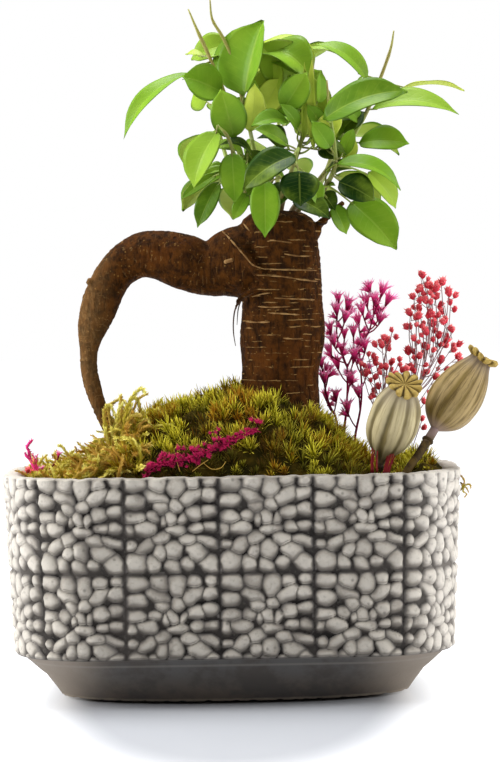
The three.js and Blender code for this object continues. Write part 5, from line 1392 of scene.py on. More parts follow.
def build_magenta(material, laid_material):
    """The upright sprays, the curled sprig at the left end and the one laid on the moss."""
    for name, spray in MAGENTA.items():
        rng = random.Random(name)
        laid = name == "magenta_sprig_laid"
        curled = name == "magenta_sprig_left"
        shape = Shape("tip")
        spray_stems(shape, spray["stems"], 0.55)
        if curled:
            for path in LEFT_CURL:
                ribbon = tube(path, 8, 5, lambda angle, share: 0.75 + 0.3 * math.sin(2 * angle + 9 * share))
                shape.add(*ribbon, tip=0.5)
                for spot in smooth_path(path, 3):
                    root = Vector(spot[:3])
                    heading = drawn(rng, (-1, 1), (-0.6, 0.2), (-0.2, 1)).normalized()
                    add_spike(shape, root, root + heading * rng.uniform(1, 2.2), 0.45, 0.4, 0.8)
        for spot in smooth_path(spray["stems"][0], 9) if laid else ():
            root = Vector(spot[:3]) + Vector((0, -1.5, 1.5))
            for _ in range(5):
                heading = drawn(rng, (-1, 1.2), (-0.8, 0.1), (-0.5, 0.9)).normalized()
                add_spike(shape, root, root + heading * rng.uniform(2, 4.2), 0.6, 0.5, 1.0)
        for place in spray["calyces"]:
            place = Vector(place)
            root = nearest_on(spray["stems"], place - Vector((0, 0, 0 if laid else 10)))
            lean = place - root
            if laid:
                along = drawn(rng, (-0.7, 0.9), (-0.9, -0.2), (-0.1, 0.7)).normalized()
                foot = place - along * 1.5
                size = rng.uniform(0.35, 0.5)
                for _ in range(2):
                    shift = drawn(rng, (-2.4, 2.4), (-0.6, 1.2), (-1.0, 1.0))
                    add_calyx(shape, foot + shift, along + shift * 0.25, rng.uniform(0.3, 0.5), rng)
            else:
                along = (lean.normalized() * 0.75 + Vector((rng.uniform(-0.2, 0.2), -0.12, 0.7))).normalized()
                foot = place - along * 3.6
                size = rng.uniform(0.9, 1.2) * (0.5 if curled else 1)
            add_floret_twig(shape, root, foot, 0.42)
            add_calyx(shape, foot, along, size, rng)
            for _ in range(0 if laid or curled else rng.choice((0, 1, 1))):
                aside = rng.choice((-1, 1)) * rng.uniform(0.4, 1.0)
                turn = Vector((aside, rng.uniform(-0.6, 0.4), rng.uniform(0.3, 0.9))).normalized()
                second = foot - along * rng.uniform(0.5, 3.5)
                add_calyx(shape, second, turn, rng.uniform(0.6, 0.9), rng)
        made = shape.piece("dried_" + name, laid_material if laid else material, "magenta_flower")
        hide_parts(name)


def add_pod(shape, foot, along, size, rng):
    """A plump bud of overlapping scales with short points."""
    along = along.normalized()
    profile = [(0, 0.3), *((height * size, radius * size) for height, radius in POD)]
    tips = [0.75 * height / profile[-1][0] for height, _ in profile for _ in range(POD_SIDES)]
    tone = rng.uniform(0.0, 1.0)

    def ripple(angle, height):
        return 1 + 0.16 * math.sin(5 * angle + height)

    lathe(shape, foot, along, profile, POD_SIDES, ripple, tip=tips, tone=tone)
    side, across = square_pair(along)
    for i in range(POD_SCALES):
        angle = SPIRAL_TURN * i
        out = side * math.cos(angle) + across * math.sin(angle)
        low = rng.uniform(1.0, 3.2) * size
        wide = 1.4 * size * (1 - 0.1 * low)
        root = foot + along * low + out * wide * 0.75
        heading = (along + out * rng.uniform(0.1, 1.3)).normalized()
        side_width = rng.uniform(0.45, 0.85) * size
        point = root + heading * (rng.uniform(1.2, 2.5) * size)
        add_spike(shape, root, point, side_width, 0.45, 1.0, tone=tone)


def build_coral(pod_material, stem_material):
    """The coral sprays and sprig, each as its pods and its stems, and the cut red stems."""
    for name, spray in CORAL.items():
        rng = random.Random(name)
        pods = Shape("tip", "tone")
        twigs = Shape("tip")
        spray_stems(twigs, spray["stems"], 0.4)
        small = name == "coral_sprig_left"
        for place in spray["pods"]:
            place = Vector(place)
            root = nearest_on(spray["stems"], place - Vector((0, 0, 1 if small else rng.uniform(18, 40))))
            lean = place - root
            along = Vector((rng.uniform(-0.5, 0.5), rng.uniform(-0.6, 0.1), 0.4))
            along = (lean.normalized() + along).normalized()
            foot = place - along * 2.2
            if not small:
                bulge = root + (foot - root) * 0.5 + Vector((rng.uniform(-2, 2), rng.uniform(-1, 1), -2))
                twigs.add(*tube([(*root, 0.3), (*bulge, 0.24), (*foot, 0.22)], 5, 4), tip=0.6)
            add_pod(pods, foot, along, rng.uniform(0.7, 1.2) * (0.7 if small else 1), rng)
            for _ in range(0 if small else rng.choice((1, 2, 2))):
                shift = drawn(rng, (-2.8, 2.8), (-1.5, 1.5), (-4.4, 1.2))
                second = foot + shift
                twigs.add(*tube([(*(foot - along * 3 - shift * 0.2), 0.2), (*second, 0.2)], 4, 2), tip=0.6)
                add_pod(pods, second, along + shift * 0.15, rng.uniform(0.6, 0.95), rng)
        made = pods.piece("dried_" + name, pod_material, "coral_flower")
        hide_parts(name)
        if name == "coral_left":
            for foot, top in CUT_STEMS:
                foot, top = Vector(foot), Vector(top)
                middle = (foot + top) / 2 + Vector((rng.uniform(-0.6, 0.6), 0, 0))
                twigs.add(*tube([(*foot, 0.5), (*middle, 0.42), (*top, 0.3)], 7, 3), tip=-1.0)
        made = twigs.piece("dried_" + name + "_stems", stem_material, "coral_flower")
        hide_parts(name)


# Poppy heads.

def build_poppy(name, poppy, capsule_material, crown_material, stalk_material):
    """A ribbed capsule with a scalloped star crown, on its stalk."""
    foot = Vector(poppy["foot"])
    axis = Vector(poppy["crown"]) - foot
    height = axis.length
    axis.normalize()
    side = Vector((0, 1, 0)).cross(axis).normalized()
    across = axis.cross(side)
    angles = [2 * math.pi * i / CAPSULE_COLUMNS for i in range(CAPSULE_COLUMNS)]

    def rib(angle):
        return abs(math.cos(poppy["ribs"] / 2 * angle + 0.3)) ** 1.1

    capsule = Shape("rib", "height", "local_x", "local_y")
    shares = np.linspace(0, 0.985, CAPSULE_ROWS)
    widths = np.interp(shares, *zip(*poppy["profile"]))
    for _ in range(3):
        widths[1:-1] = (widths[:-2] + 2 * widths[1:-1] + widths[2:]) / 4
    points = []
    values = {"rib": [], "height": [], "local_x": [], "local_y": []}
    for t, w in zip(shares, widths):
        fade = math.sin(math.pi * t) ** 0.35
        for angle in angles:
            cos, sin = math.cos(angle), math.sin(angle)
            lump = 0.02 * noise.noise(Vector((2 * cos, 2 * sin, 4 * t + len(name))))
            r = poppy["radius"] * w * (1 - poppy["depth"] * fade * (1 - rib(angle)) + lump)
            points.append(foot + axis * (height * t) + (side * cos + across * sin) * r)
            for stored, value in zip(values.values(), (rib(angle), t, cos, sin)):
                stored.append(value)
    capsule.add(points, ring_faces(len(shares), len(angles)), **values)
    made = capsule.piece(name + "_capsule", capsule_material, "poppy_head")
    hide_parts(name)

    top = foot + axis * (height + poppy["lift"])
    axis = (axis + Vector(poppy["tilt"])).normalized()
    side = Vector((0, 1, 0)).cross(axis).normalized()
    across = axis.cross(side)
    crown = Shape("rib", "height")
    points, rib_values, height_values = [], [], []

    def ray(angle):
        return abs(math.cos(CROWN_RAYS / 2 * angle + 0.6))

    for share, rise in CROWN_LEVELS:
        outer = float(smoothstep(0.3, 1.0, share))
        for angle in angles:
            lobe = 1 - 0.24 * outer * (1 - ray(angle) ** 0.5)
            r = max(0.3, poppy["crown_radius"] * share * lobe)
            r *= 1 + 0.05 * outer * math.sin(3 * angle + len(name))
            ridge = 0.9 * ray(angle) ** 1.2 * min(1, 3 * share) if rise > -0.5 else 0
            curl = 0.7 * outer * math.sin(2 * angle + 1) + 0.5 * outer * math.sin(5 * angle) * share
            h = rise + ridge + curl
            points.append(top + axis * h + (side * math.cos(angle) + across * math.sin(angle)) * r)
            rib_values.append(ray(angle))
            height_values.append(share)
    crown.add(points, ring_faces(len(CROWN_LEVELS), len(angles)), rib=rib_values, height=height_values)
    made = crown.piece(name + "_crown", crown_material, "poppy_head")
    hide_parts(name)

    axis = (top - foot).normalized()
    stalk = Shape("height")
    path = [*poppy["stalk"], (*(foot + axis * 2.5), poppy["radius"] * 0.16)]
    points, faces = tube(path, 16, 6)
    lowest = path[0][2]
    stalk.add(points, faces, height=[min(1, (p.z - lowest) / (foot.z + 2 - lowest)) for p in points])
    if "knot" in poppy:
        lathe(stalk, Vector(poppy["knot"]) - axis * 1.6, axis, KNOT_PROFILE, 16, height=-1.0)
    made = stalk.piece(name + "_stalk", stalk_material, "poppy_head")
    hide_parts(name)


# Materials. Colours are written as on a paint card.

def paint(code):
    """The linear colour of a six-figure code."""
    channels = [int(code[i:i + 2], 16) / 255 for i in (0, 2, 4)]
    linear = [c / 12.92 if c <= 0.04045 else ((c + 0.055) / 1.055) ** 2.4 for c in channels]
    return (*linear, 1.0)


def place(tree, kind, sockets=None, **settings):
    """A node with its settings, and its sockets set to a value or joined to another socket."""
    made = tree.nodes.new(kind)
    for name, value in settings.items():
        setattr(made, name, value)
    for name, value in (sockets or {}).items():
        if isinstance(value, bpy.types.NodeSocket):
            tree.links.new(value, made.inputs[name])
        else:
            made.inputs[name].default_value = value
    return made


def blended(tree, share, first, second):
    return place(tree, "ShaderNodeMix", {0: share, 6: first, 7: second}, data_type="RGBA").outputs[2]


def ranged(tree, value, low, high, start=0.0, end=1.0):
    sockets = {"Value": value, "From Min": low, "From Max": high, "To Min": start, "To Max": end}
    return place(tree, "ShaderNodeMapRange", sockets, interpolation_type="SMOOTHSTEP").outputs["Result"]


def computed(tree, operation, first, second=0.0):
    return place(tree, "ShaderNodeMath", {0: first, 1: second}, operation=operation).outputs[0]


def times(tree, first, second):
    return computed(tree, "MULTIPLY", first, second)


def point_value(tree, name):
    return place(tree, "ShaderNodeAttribute", attribute_name=name).outputs["Fac"]


def effect(name, inputs, outputs):
    """An empty shader node group with named inputs and outputs."""
    group = bpy.data.node_groups.new(name, "ShaderNodeTree")
    for label, kind, value in inputs:
        group.interface.new_socket(label, in_out="INPUT", socket_type="NodeSocket" + kind).default_value = value
    for label, kind in outputs:
        group.interface.new_socket(label, in_out="OUTPUT", socket_type="NodeSocket" + kind)
    return group, group.nodes.new("NodeGroupInput").outputs, group.nodes.new("NodeGroupOutput").inputs


def used(tree, group, **values):
    """A group placed in a material with its own values, and its outputs."""
    sockets = {name.replace("_", " "): value for name, value in values.items()}
    return place(tree, "ShaderNodeGroup", sockets, node_tree=group).outputs


def mottled(tree, ground, patch, **values):
    """Two paints in soft patches."""
    return used(tree, MOTTLE, Ground=paint(ground), Patch=paint(patch), **values)["Color"]


def patchy(tree, **values):
    return used(tree, MOTTLE, **values)["Mask"]


def grained(tree, **values):
    return used(tree, GRAIN, **values)["Height"]


def specked(tree, **values):
    return used(tree, SPECKS, **values)["Mask"]


def stretched_noise(group, sockets, detail, roughness=0.6):
    spot = place(group, "ShaderNodeTexCoord").outputs["Object"]
    spot = place(group, "ShaderNodeVectorMath", {0: spot, 1: sockets["Stretch"]}, operation="MULTIPLY")
    spot = spot.outputs[0]
    noise_sockets = {"Vector": spot, "Scale": sockets["Scale"], "Detail": detail, "Roughness": roughness}
    return place(group, "ShaderNodeTexNoise", noise_sockets).outputs["Fac"]


def mottle_effect():
    """Two colours mixed in soft patches."""
    group, given, out = effect("mottle", [
        ("Ground", "Color", (0.5, 0.5, 0.5, 1)), ("Patch", "Color", (0.4, 0.4, 0.4, 1)),
        ("Scale", "Float", 60.0), ("Stretch", "Vector", (1, 1, 1)),
        ("Low", "Float", 0.4), ("High", "Float", 0.62),
    ], [("Color", "Color"), ("Mask", "Float")])
    value = stretched_noise(group, given, 4.0)
    mask = ranged(group, value, given["Low"], given["High"])
    group.links.new(blended(group, mask, given["Ground"], given["Patch"]), out["Color"])
    group.links.new(mask, out["Mask"])
    return group


def grain_effect():
    """Fine height variation, stretched along the grain where there is one."""
    group, given, out = effect("grain", [
        ("Scale", "Float", 400.0), ("Stretch", "Vector", (1, 1, 1)),
    ], [("Height", "Float")])
    group.links.new(stretched_noise(group, given, 6.0, 0.65), out["Height"])
    return group


def speck_effect():
    """Small scattered spots."""
    group, given, out = effect("specks", [
        ("Scale", "Float", 500.0), ("Size", "Float", 0.22), ("Share", "Float", 0.35),
    ], [("Mask", "Float")])
    spot = place(group, "ShaderNodeTexCoord").outputs["Object"]
    cells = place(group, "ShaderNodeTexVoronoi", {"Vector": spot, "Scale": given["Scale"]}).outputs
    near = ranged(group, cells["Distance"], given["Size"], 0.0)
    chosen = place(group, "ShaderNodeSeparateColor", {"Color": cells["Color"]}).outputs["Red"]
    kept = computed(group, "LESS_THAN", chosen, given["Share"])
    group.links.new(times(group, near, kept), out["Mask"])
    return group


MOTTLE = mottle_effect()
GRAIN = grain_effect()
SPECKS = speck_effect()


def new_finish(name, roughness, **constants):
    """A material with its own shader, whose constant values sit on the shader's sockets."""
    material = bpy.data.materials.new(name)
    material.use_nodes = True
    tree = material.node_tree
    shader = tree.nodes["Principled BSDF"]
    shader.inputs["Roughness"].default_value = roughness
    for label, value in constants.items():
        shader.inputs[label.replace("_", " ")].default_value = value
    return material, tree, shader


def finish_with(tree, shader, colour, height, strength, depth, roughness=None):
    """The colour, the bump and sometimes the roughness joined to the shader."""
    tree.links.new(colour, shader.inputs["Base Color"])
    bump = place(tree, "ShaderNodeBump", {"Height": height, "Strength": strength, "Distance": depth})
    tree.links.new(bump.outputs["Normal"], shader.inputs["Normal"])
    if roughness is not None:
        tree.links.new(roughness, shader.inputs["Roughness"])


def concrete_finish():
    """Cast concrete: pale pebbles over dark grey grooves, with painted shade in the grooves, creases and under
    each pebble, rubbed tops with a painted highlight, painted light on the paler ends and painted shade on the
    darker foot.
    """
    material, tree, shader = new_finish("cast_concrete", 0.85, Specular_IOR_Level=0.25)
    relief = point_value(tree, "relief")
    spot = place(tree, "ShaderNodeTexCoord").outputs["Object"]
    spot = place(tree, "ShaderNodeSeparateXYZ", {0: spot}).outputs
    stones = mottled(tree, "b4ada1", "8c857b", Scale=85.0, Low=0.38, High=0.68)
    creases = mottled(tree, "6d6863", "4e4a47", Scale=60.0)
    grooves = mottled(tree, "36322f", "1b1816", Scale=70.0)
    # Painted light: the ends of the pot, lit from the sides, get paler grooves, creases and stones.
    ends = ranged(tree, computed(tree, "ABSOLUTE", computed(tree, "ADD", spot["X"], 0.004)), 0.086, 0.112)
    grooves = blended(tree, times(tree, ends, 0.6), grooves, paint("847d76"))
    creases = blended(tree, times(tree, ends, 0.5), creases, paint("aba59d"))
    stones = blended(tree, times(tree, ends, 0.75), stones, paint("dcd5cb"))
    # Colour by relief: the grooves' own dark grey, spread over the creases and pebble sides as painted shade of
    # the recesses.
    colour = blended(tree, ranged(tree, relief, 0.0, 0.22), grooves, creases)
    colour = blended(tree, ranged(tree, relief, 0.16, 0.8), colour, stones)
    # Paler pebble tops: rubbed wear with a painted highlight.
    colour = blended(tree, ranged(tree, relief, 0.66, 1.0, 0.0, 0.5), colour, paint("cac4b9"))
    grime = patchy(tree, Scale=26.0, Low=0.48, High=0.7)
    grime = times(tree, grime, ranged(tree, relief, 0.3, 0.8, 0.45, 0.16))
    colour = blended(tree, grime, colour, paint("57514c"))
    # Painted shade on the lower side of each pebble, weaker at the paler ends.
    underside_shade = times(tree, point_value(tree, "underside_shade"), ranged(tree, ends, 0.0, 1.0, 0.62, 0.3))
    colour = blended(tree, underside_shade, colour, paint("4d4741"))
    pits = specked(tree, Scale=260.0, Size=0.36, Share=0.2)
    colour = blended(tree, times(tree, pits, 0.6), colour, paint("4f4c47"))
    crust = patchy(tree, Scale=420.0, Low=0.5, High=0.7)
    colour = blended(tree, times(tree, crust, 0.28), colour, paint("6e6962"))
    # Foot colour: a dark grey that is painted shade under the band's overhang.
    foot_colour = blended(tree, ranged(tree, spot["Z"], 0.004, 0.02), paint("5f564d"), paint("5a5856"))
    foot_colour = used(tree, MOTTLE, Ground=foot_colour, Patch=paint("4f4a46"), Scale=55.0)["Color"]
    # Painted light on the ends of the foot.
    lit_foot_ends = ranged(tree, computed(tree, "ABSOLUTE", spot["X"]), 0.055, 0.085, 0.0, 0.75)
    foot_colour = blended(tree, lit_foot_ends, foot_colour, paint("8a7f72"))
    ledge = computed(tree, "ABSOLUTE", computed(tree, "SUBTRACT", spot["Z"], 0.0206))
    foot_colour = blended(tree, ranged(tree, ledge, 0.0009, 0.0002, 0.0, 0.3), foot_colour, paint("8d8780"))
    foot_edge = computed(tree, "ADD", spot["Z"], times(tree, grained(tree, Scale=150.0), 0.0012))
    foot_colour = blended(tree, ranged(tree, foot_edge, 0.0038, 0.0026, 0.0, 0.7), foot_colour, paint("978a7a"))
    # Painted shade: near-black on the recessed wall in the gap under the foot.
    foot_colour = blended(tree, ranged(tree, spot["Z"], 0.0014, 0.0013), foot_colour, paint("0c0a09"))
    foot_mask = ranged(tree, spot["Z"], 0.0245, 0.0232)
    colour = blended(tree, foot_mask, colour, foot_colour)
    height = grained(tree, Scale=900.0)
    height = computed(tree, "SUBTRACT", height, times(tree, pits, 0.8))
    finish_with(tree, shader, colour, height, 0.35, 0.0005)
    return material


def bark_finish():
    """Dark brown bark with pale broken rings across the limb and fine pores along it."""
    material, tree, shader = new_finish("ficus_bark", 0.75, Specular_IOR_Level=0.05)
    base = mottled(tree, "4c2b0a", "241203", Scale=240.0, Low=0.34, High=0.68)
    ruddy = patchy(tree, Scale=34.0, Low=0.5, High=0.7)
    colour = blended(tree, times(tree, ruddy, 0.4), base, paint("5a300a"))
    pores = patchy(tree, Scale=420.0, Stretch=(1, 1, 0.22), Low=0.52, High=0.68)
    colour = blended(tree, times(tree, pores, 0.65), colour, paint("1a0e04"))
    along = point_value(tree, "along")
    waver = grained(tree, Scale=38.0)
    rings = computed(tree, "ADD", times(tree, along, 0.31), times(tree, waver, 1.1))
    sockets = {"W": along, "Scale": 0.06, "Detail": 1.0}
    uneven = place(tree, "ShaderNodeTexNoise", sockets, noise_dimensions="1D").outputs["Fac"]
    rings = computed(tree, "ADD", rings, times(tree, uneven, 1.5))
    line = computed(tree, "ABSOLUTE", computed(tree, "SUBTRACT", computed(tree, "FRACT", rings), 0.5))
    line = ranged(tree, line, 0.12, 0.03)
    broken = patchy(tree, Scale=115.0, Stretch=(1, 1, 2.6), Low=0.5, High=0.6)
    arch = point_value(tree, "arch")
    weight = ranged(tree, arch, 0.3, 0.7, 0.85, 0.24)
    dashes = times(tree, times(tree, line, broken), weight)
    colour = blended(tree, dashes, colour, paint("a5804e"))
    flecks = specked(tree, Scale=520.0, Size=0.32, Share=0.16)
    colour = blended(tree, times(tree, flecks, 0.55), colour, paint("a07a40"))
    spot = place(tree, "ShaderNodeTexCoord").outputs["Object"]
    spot = place(tree, "ShaderNodeSeparateXYZ", {0: spot}).outputs
    # Paler patches on the left side of the arch: wear, with painted light on the side lit from the left.
    wear_and_light = patchy(tree, Scale=620.0, Stretch=(1, 1, 0.5), Low=0.46, High=0.66)
    wear_and_light = computed(tree, "ADD", 0.2, times(tree, wear_and_light, 0.2))
    wear_and_light = times(tree, wear_and_light, ranged(tree, spot["X"], -0.054, -0.074))
    colour = blended(tree, wear_and_light, colour, paint("a07c4e"))
    grain = grained(tree, Scale=520.0, Stretch=(1, 1, 0.35))
    height = computed(tree, "ADD", grain, times(tree, dashes, 0.9))
    height = computed(tree, "SUBTRACT", height, times(tree, pores, 0.5))
    finish_with(tree, shader, colour, height, 0.8, 0.0011)
    return material


def leaf_finish():
    """Glossy green blades with a pale midrib and side veins, duller and paler underneath."""
    material, tree, shader = new_finish("ficus_leaf", 0.42, Specular_IOR_Level=0.12)
    tint = point_value(tree, "tint")
    along = point_value(tree, "along")
    across = computed(tree, "ABSOLUTE", point_value(tree, "across"))
    upper = point_value(tree, "upper")
    # Tint: the leaf's own green, partly painted light and shade, paler for lit leaves and darker for leaves in
    # shade.
    colour = blended(tree, ranged(tree, tint, 0.05, 0.5), paint("0e2b01"), paint("68911c"))
    colour = blended(tree, ranged(tree, tint, 0.5, 0.9), colour, paint("c2d050"))
    patches = patchy(tree, Scale=60.0, Low=0.4, High=0.7)
    colour = blended(tree, times(tree, patches, 0.35), colour, paint("8fab30"))
    at_base = ranged(tree, along, 0.35, 0.0, 0.0, 0.3)
    at_edge = ranged(tree, across, 0.75, 1.0, 0.0, 0.22)
    colour = blended(tree, computed(tree, "MAXIMUM", at_base, at_edge), colour, paint("2c4e08"))
    freckles = specked(tree, Scale=330.0, Size=0.3, Share=0.3)
    freckles = times(tree, freckles, ranged(tree, tint, 0.35, 0.48, 0.2, 0.0))
    colour = blended(tree, freckles, colour, paint("4a6414"))
    slanted = computed(tree, "SUBTRACT", times(tree, along, 9.0), times(tree, across, 1.7))
    vein = computed(tree, "ABSOLUTE", computed(tree, "SUBTRACT", computed(tree, "FRACT", slanted), 0.5))
    vein = times(tree, ranged(tree, vein, 0.12, 0.0), ranged(tree, across, 0.9, 0.5, 0.0, 0.3))
    midrib = ranged(tree, across, 0.075, 0.02)
    veins = computed(tree, "MAXIMUM", vein, midrib)
    colour = blended(tree, times(tree, veins, 0.2), colour, paint("a8bf4e"))
    colour = blended(tree, ranged(tree, upper, 0.0, 0.6, 0.6, 0.0), colour, paint("a5b54a"))
    roughness = ranged(tree, upper, 0.0, 0.6, 0.65, 0.4)
    finish_with(tree, shader, colour, times(tree, veins, -1.0), 0.3, 0.0004, roughness)
    return material


def stem_finish():
    """Green stems that turn reddish brown where they are young or old."""
    material, tree, shader = new_finish("ficus_stem", 0.5)
    young = point_value(tree, "young")
    base = mottled(tree, "86983a", "72702a", Scale=160.0, Stretch=(1, 1, 0.3))
    colour = blended(tree, ranged(tree, young, 0.0, 0.3, 1.0, 0.0), base, paint("5c4a20"))
    colour = blended(tree, ranged(tree, young, 0.8, 1.0, 0.0, 0.6), colour, paint("94823a"))
    finish_with(tree, shader, colour, grained(tree, Scale=800.0, Stretch=(1, 1, 0.3)), 0.4, 0.0005)
    return material


def moss_finish(name, dark, green, bright, brown):
    """Moss leaves, darker at their roots and brightest at the tips, some of them browned; the dark roots and
    the shade value are painted shade.
    """
    material, tree, shader = new_finish(name, 0.62, Specular_IOR_Level=0.14)
    tip = point_value(tree, "tip")
    tone = point_value(tree, "tone")
    middle = blended(tree, ranged(tree, tone, 0.3, 0.75), paint(brown), paint(green))
    middle = used(tree, MOTTLE, Ground=middle, Patch=paint(green), Scale=110.0, Low=0.45, High=0.65)["Color"]
    high = blended(tree, ranged(tree, tone, 0.2, 0.65), paint(brown), paint(bright))
    # Near-black at the roots: painted shade deep in the brush.
    colour = blended(tree, ranged(tree, tip, 0.0, 0.4), paint(dark), middle)
    colour = blended(tree, ranged(tree, tip, 0.35, 0.95), colour, high)
    # Painted shade from the shade value.
    shade = point_value(tree, "shade")
    colour = blended(tree, ranged(tree, shade, 0.45, 0.95, 0.0, 0.8), colour, paint(dark))
    finish_with(tree, shader, colour, grained(tree, Scale=900.0), 0.2, 0.0003)
    return material


def crumbly_finish(name, ground, patch, scale):
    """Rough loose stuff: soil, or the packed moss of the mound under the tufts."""
    material, tree, shader = new_finish(name, 0.95, Specular_IOR_Level=0.1)
    colour = mottled(tree, ground, patch, Scale=scale)
    crumbs = specked(tree, Scale=400.0, Size=0.4, Share=0.3)
    height = computed(tree, "ADD", grained(tree, Scale=scale * 4), crumbs)
    finish_with(tree, shader, colour, height, 0.8, 0.0015)
    return material


def flower_finish(name, dark, middle, bright, varied=False):
    """Dry papery florets, dark at the foot and bright at the points."""
    material, tree, shader = new_finish(name, 0.7, Specular_IOR_Level=0.1)
    tip = point_value(tree, "tip")
    colour = blended(tree, ranged(tree, tip, 0.05, 0.5), paint(dark), paint(middle))
    colour = blended(tree, ranged(tree, tip, 0.45, 1.0), colour, paint(bright))
    patches = patchy(tree, Scale=230.0, Low=0.42, High=0.68)
    colour = blended(tree, times(tree, patches, 0.35), colour, paint(dark))
    if varied:
        tone = point_value(tree, "tone")
        colour = blended(tree, ranged(tree, tone, 0.5, 0.0, 0.0, 0.6), colour, paint(dark))
    finish_with(tree, shader, colour, grained(tree, Scale=1100.0), 0.3, 0.0004)
    return material


def twig_finish(name, ground, patch, cut=None):
    """Thin woody stems, and cut ends of a darker colour where the tip value is below 0."""
    material, tree, shader = new_finish(name, 0.7, Specular_IOR_Level=0.15)
    colour = mottled(tree, ground, patch, Scale=180.0)
    if cut:
        colour = blended(tree, ranged(tree, point_value(tree, "tip"), -0.4, -0.6), colour, paint(cut))
    finish_with(tree, shader, colour, grained(tree, Scale=900.0), 0.3, 0.0004)
    return material


def capsule_finish(name, ridge, valley, streak, shoulder, streak_share):
    """A dry poppy capsule: pale ribs, darker valleys, streaks and a bloom below the crown."""
    material, tree, shader = new_finish(name, 0.6, Specular_IOR_Level=0.25)
    rib = point_value(tree, "rib")
    height_up = point_value(tree, "height")
    sockets = {0: point_value(tree, "local_x"), 1: point_value(tree, "local_y"), 2: height_up}
    local = place(tree, "ShaderNodeCombineXYZ", sockets).outputs[0]
    smudge = place(tree, "ShaderNodeTexNoise", {"Vector": local, "Scale": 1.6, "Detail": 3.0}).outputs["Fac"]
    banding = computed(tree, "ADD", rib, times(tree, computed(tree, "SUBTRACT", smudge, 0.5), 2.8))
    colour = blended(tree, ranged(tree, banding, 0.05, 0.95), paint(valley), paint(ridge))
    lengthwise = place(tree, "ShaderNodeVectorMath", {0: local, 1: (1, 1, 0.3)}, operation="MULTIPLY")
    lengthwise = lengthwise.outputs[0]
    sockets = {"Vector": lengthwise, "Scale": 9.0, "Detail": 4.0, "Roughness": 0.7}
    fine = place(tree, "ShaderNodeTexNoise", sockets).outputs["Fac"]
    colour = blended(tree, times(tree, ranged(tree, fine, 0.46, 0.64), streak_share), colour, paint(streak))
    colour = blended(tree, ranged(tree, height_up, 0.72, 1.0, 0.0, 0.55), colour, paint(shoulder))
    colour = blended(tree, ranged(tree, height_up, 0.14, 0.0, 0.0, 0.8), colour, paint("a58f86"))
    grain = grained(tree, Scale=420.0, Stretch=(1, 1, 0.3))
    finish_with(tree, shader, colour, grain, 0.35, 0.0006)
    return material


def crown_finish():
    """Straw-coloured rays with darker furrows between them."""
    material, tree, shader = new_finish("poppy_crown_straw", 0.7, Specular_IOR_Level=0.2)
    rib = point_value(tree, "rib")
    colour = blended(tree, ranged(tree, rib, 0.18, 0.8), paint("43330c"), paint("b09650"))
    patches = patchy(tree, Scale=300.0, Low=0.42, High=0.6)
    colour = blended(tree, times(tree, patches, 0.5), colour, paint("7c6220"))
    finish_with(tree, shader, colour, grained(tree, Scale=500.0), 0.7, 0.001)
    return material


def stalk_finish():
    """A poppy stalk: olive brown below, dark at the joint and pinkish at the neck."""
    material, tree, shader = new_finish("poppy_stalk", 0.7, Specular_IOR_Level=0.15)
    height_up = point_value(tree, "height")
    base = mottled(tree, "4c3a12", "2c1e06", Scale=170.0, Stretch=(1, 1, 0.3))
    colour = blended(tree, ranged(tree, height_up, 0.75, 0.95), base, paint("a08a86"))
    colour = blended(tree, ranged(tree, height_up, -0.4, -0.6), colour, paint("3a2a10"))
    finish_with(tree, shader, colour, grained(tree, Scale=600.0, Stretch=(1, 1, 0.3)), 0.4, 0.0006)
    return material


def floor_finish():
    """A little glossy table whose glow, painted light beyond an oval round the pot, makes it bright white and
    runs it into the white behind it, while near the pot it stays grey.
    """
    material, tree, shader = new_finish("white_table", 0.25, Specular_IOR_Level=0.35)
    shader.inputs["Base Color"].default_value = (0.49, 0.505, 0.54, 1)
    spot = place(tree, "ShaderNodeTexCoord").outputs["Object"]
    spot = place(tree, "ShaderNodeVectorMath", {0: spot, 1: TABLE_REACH}, operation="DIVIDE").outputs[0]
    away = place(tree, "ShaderNodeVectorMath", {0: spot}, operation="LENGTH").outputs["Value"]
    # Painted light: the table glows beyond an oval round the pot.
    glow = ranged(tree, away, 0.8, 1.2, TABLE_GLOW[0], TABLE_GLOW[1])
    glow = place(tree, "ShaderNodeCombineColor", {0: glow, 1: glow, 2: glow}).outputs["Color"]
    tree.links.new(glow, shader.inputs["Emission Color"])
    shader.inputs["Emission Strength"].default_value = 1.0
    return material


# The whole object.

build_pot(concrete_finish())
build_trunk(
    bark_finish(), twig_finish("hair_root", "4a3222", "2c1c12"), twig_finish("bark_line", "9a784a", "6a4a26"),
)
build_shoots(leaf_finish(), stem_finish())
build_mound(crumbly_finish("packed_moss", "2b2606", "4a3c0c", 120.0))
build_tufts(moss_finish("star_moss", "0e0b01", "888206", "f0e648", "a67212"))
build_fronds(moss_finish("golden_moss", "3c2806", "b2a22a", "f0e87e", "caa44c"))
build_magenta(
    flower_finish("magenta_floret", "7e0e3c", "f03c8c", "ffa4d2"),
    flower_finish("crimson_floret", "360410", "960c3c", "c4265e"),
)
build_coral(
    flower_finish("coral_pod", "bc2838", "ec4e5e", "ff9a98", True),
    twig_finish("coral_twig", "a8888a", "8c6a6e", "6a0c12"),
)
crown = crown_finish()
stalk = stalk_finish()
capsules = {
    "poppy_front": capsule_finish("poppy_grey", "b8ab84", "6a5e3c", "7a6c3c", "8a7e6e", 0.45),
    "poppy_right": capsule_finish("poppy_olive", "9c8658", "74602f", "4e3b18", "6c6062", 0.7),
}
for poppy_name, poppy in POPPIES.items():
    build_poppy(poppy_name, poppy, capsules[poppy_name], crown, stalk)

soil = bpy.data.objects["soil"]
for material_slot in soil.material_slots:
    material_slot.material = crumbly_finish("potting_soil", "2a1d12", "16100a", 90.0)

# Floor, light and camera, in metres.

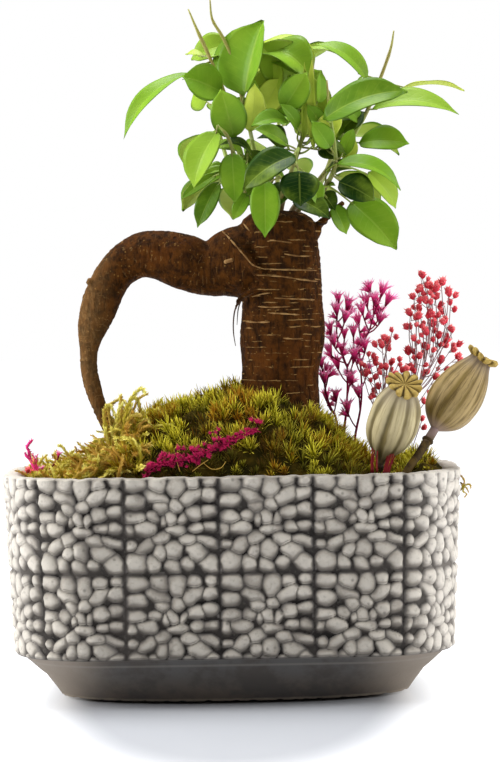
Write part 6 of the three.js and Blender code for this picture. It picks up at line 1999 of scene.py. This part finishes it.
floor = bpy.data.meshes.new("floor")
corners = [(x * FLOOR_REACH, y * FLOOR_REACH) for x, y in ((-1, -1), (1, -1), (1, 1), (-1, 1))]
floor.from_pydata([(x, y, 0) for x, y in corners], [], [(0, 1, 2, 3)])
floor_piece = bpy.data.objects.new("floor", floor)
bpy.context.scene.collection.objects.link(floor_piece)
floor.materials.append(floor_finish())

world = bpy.data.worlds.new("white_studio")
world.use_nodes = True
studio = world.node_tree
sky = studio.nodes["Background"]
sky.inputs["Color"].default_value = (1, 1, 1, 1)
way = place(studio, "ShaderNodeTexCoord").outputs["Generated"]
way = place(studio, "ShaderNodeSeparateXYZ", {0: way}).outputs
overhead = ranged(studio, way["Z"], 0.08, 0.9, STUDIO_WHITE[0], STUDIO_WHITE[1])
shaded = ranged(studio, way["Y"], -1.0, 0.1, FRONT_SHADE, 1.0)
soft = times(studio, overhead, shaded)
seen = place(studio, "ShaderNodeLightPath").outputs["Is Camera Ray"]
studio.links.new(ranged(studio, seen, 0.0, 1.0, soft, 1.0), sky.inputs["Strength"])
bpy.context.scene.world = world


def soft_light(name, spot, target, power):
    """A large soft lamp that points at a place; places in metres."""
    lamp = bpy.data.lights.new(name, "AREA")
    lamp.shape = "DISK"
    lamp.size = LAMP_SIZE
    lamp.energy = power
    piece = bpy.data.objects.new(name, lamp)
    piece.location = spot
    piece.rotation_euler = (Vector(target) - Vector(spot)).to_track_quat("-Z", "Y").to_euler()
    bpy.context.scene.collection.objects.link(piece)


soft_light("left", (-1.2, -0.17, 0.75), (0, 0, 0.15), 20)
soft_light("right", (1.2, -0.14, 0.6), (0, 0, 0.12), 12)
soft_light("top", (-0.1, 0.22, 1.4), (0, 0, 0.2), 19)

camera = bpy.data.cameras.new("camera")
camera.sensor_fit = "HORIZONTAL"
camera.sensor_width = SENSOR
camera.lens = LENS
camera.clip_start = 0.05
camera.clip_end = 50
camera_piece = bpy.data.objects.new("camera", camera)
turn = Matrix.Rotation(math.radians(90 - CAMERA_PITCH), 4, "X")
turn = turn @ Matrix.Rotation(math.radians(-CAMERA_ROLL), 4, "Z")
camera_piece.matrix_world = Matrix.Translation(Vector(CAMERA_PLACE) * MM) @ turn
bpy.context.scene.collection.objects.link(camera_piece)
bpy.context.scene.camera = camera_piece
bpy.context.scene.view_settings.view_transform = "Standard"
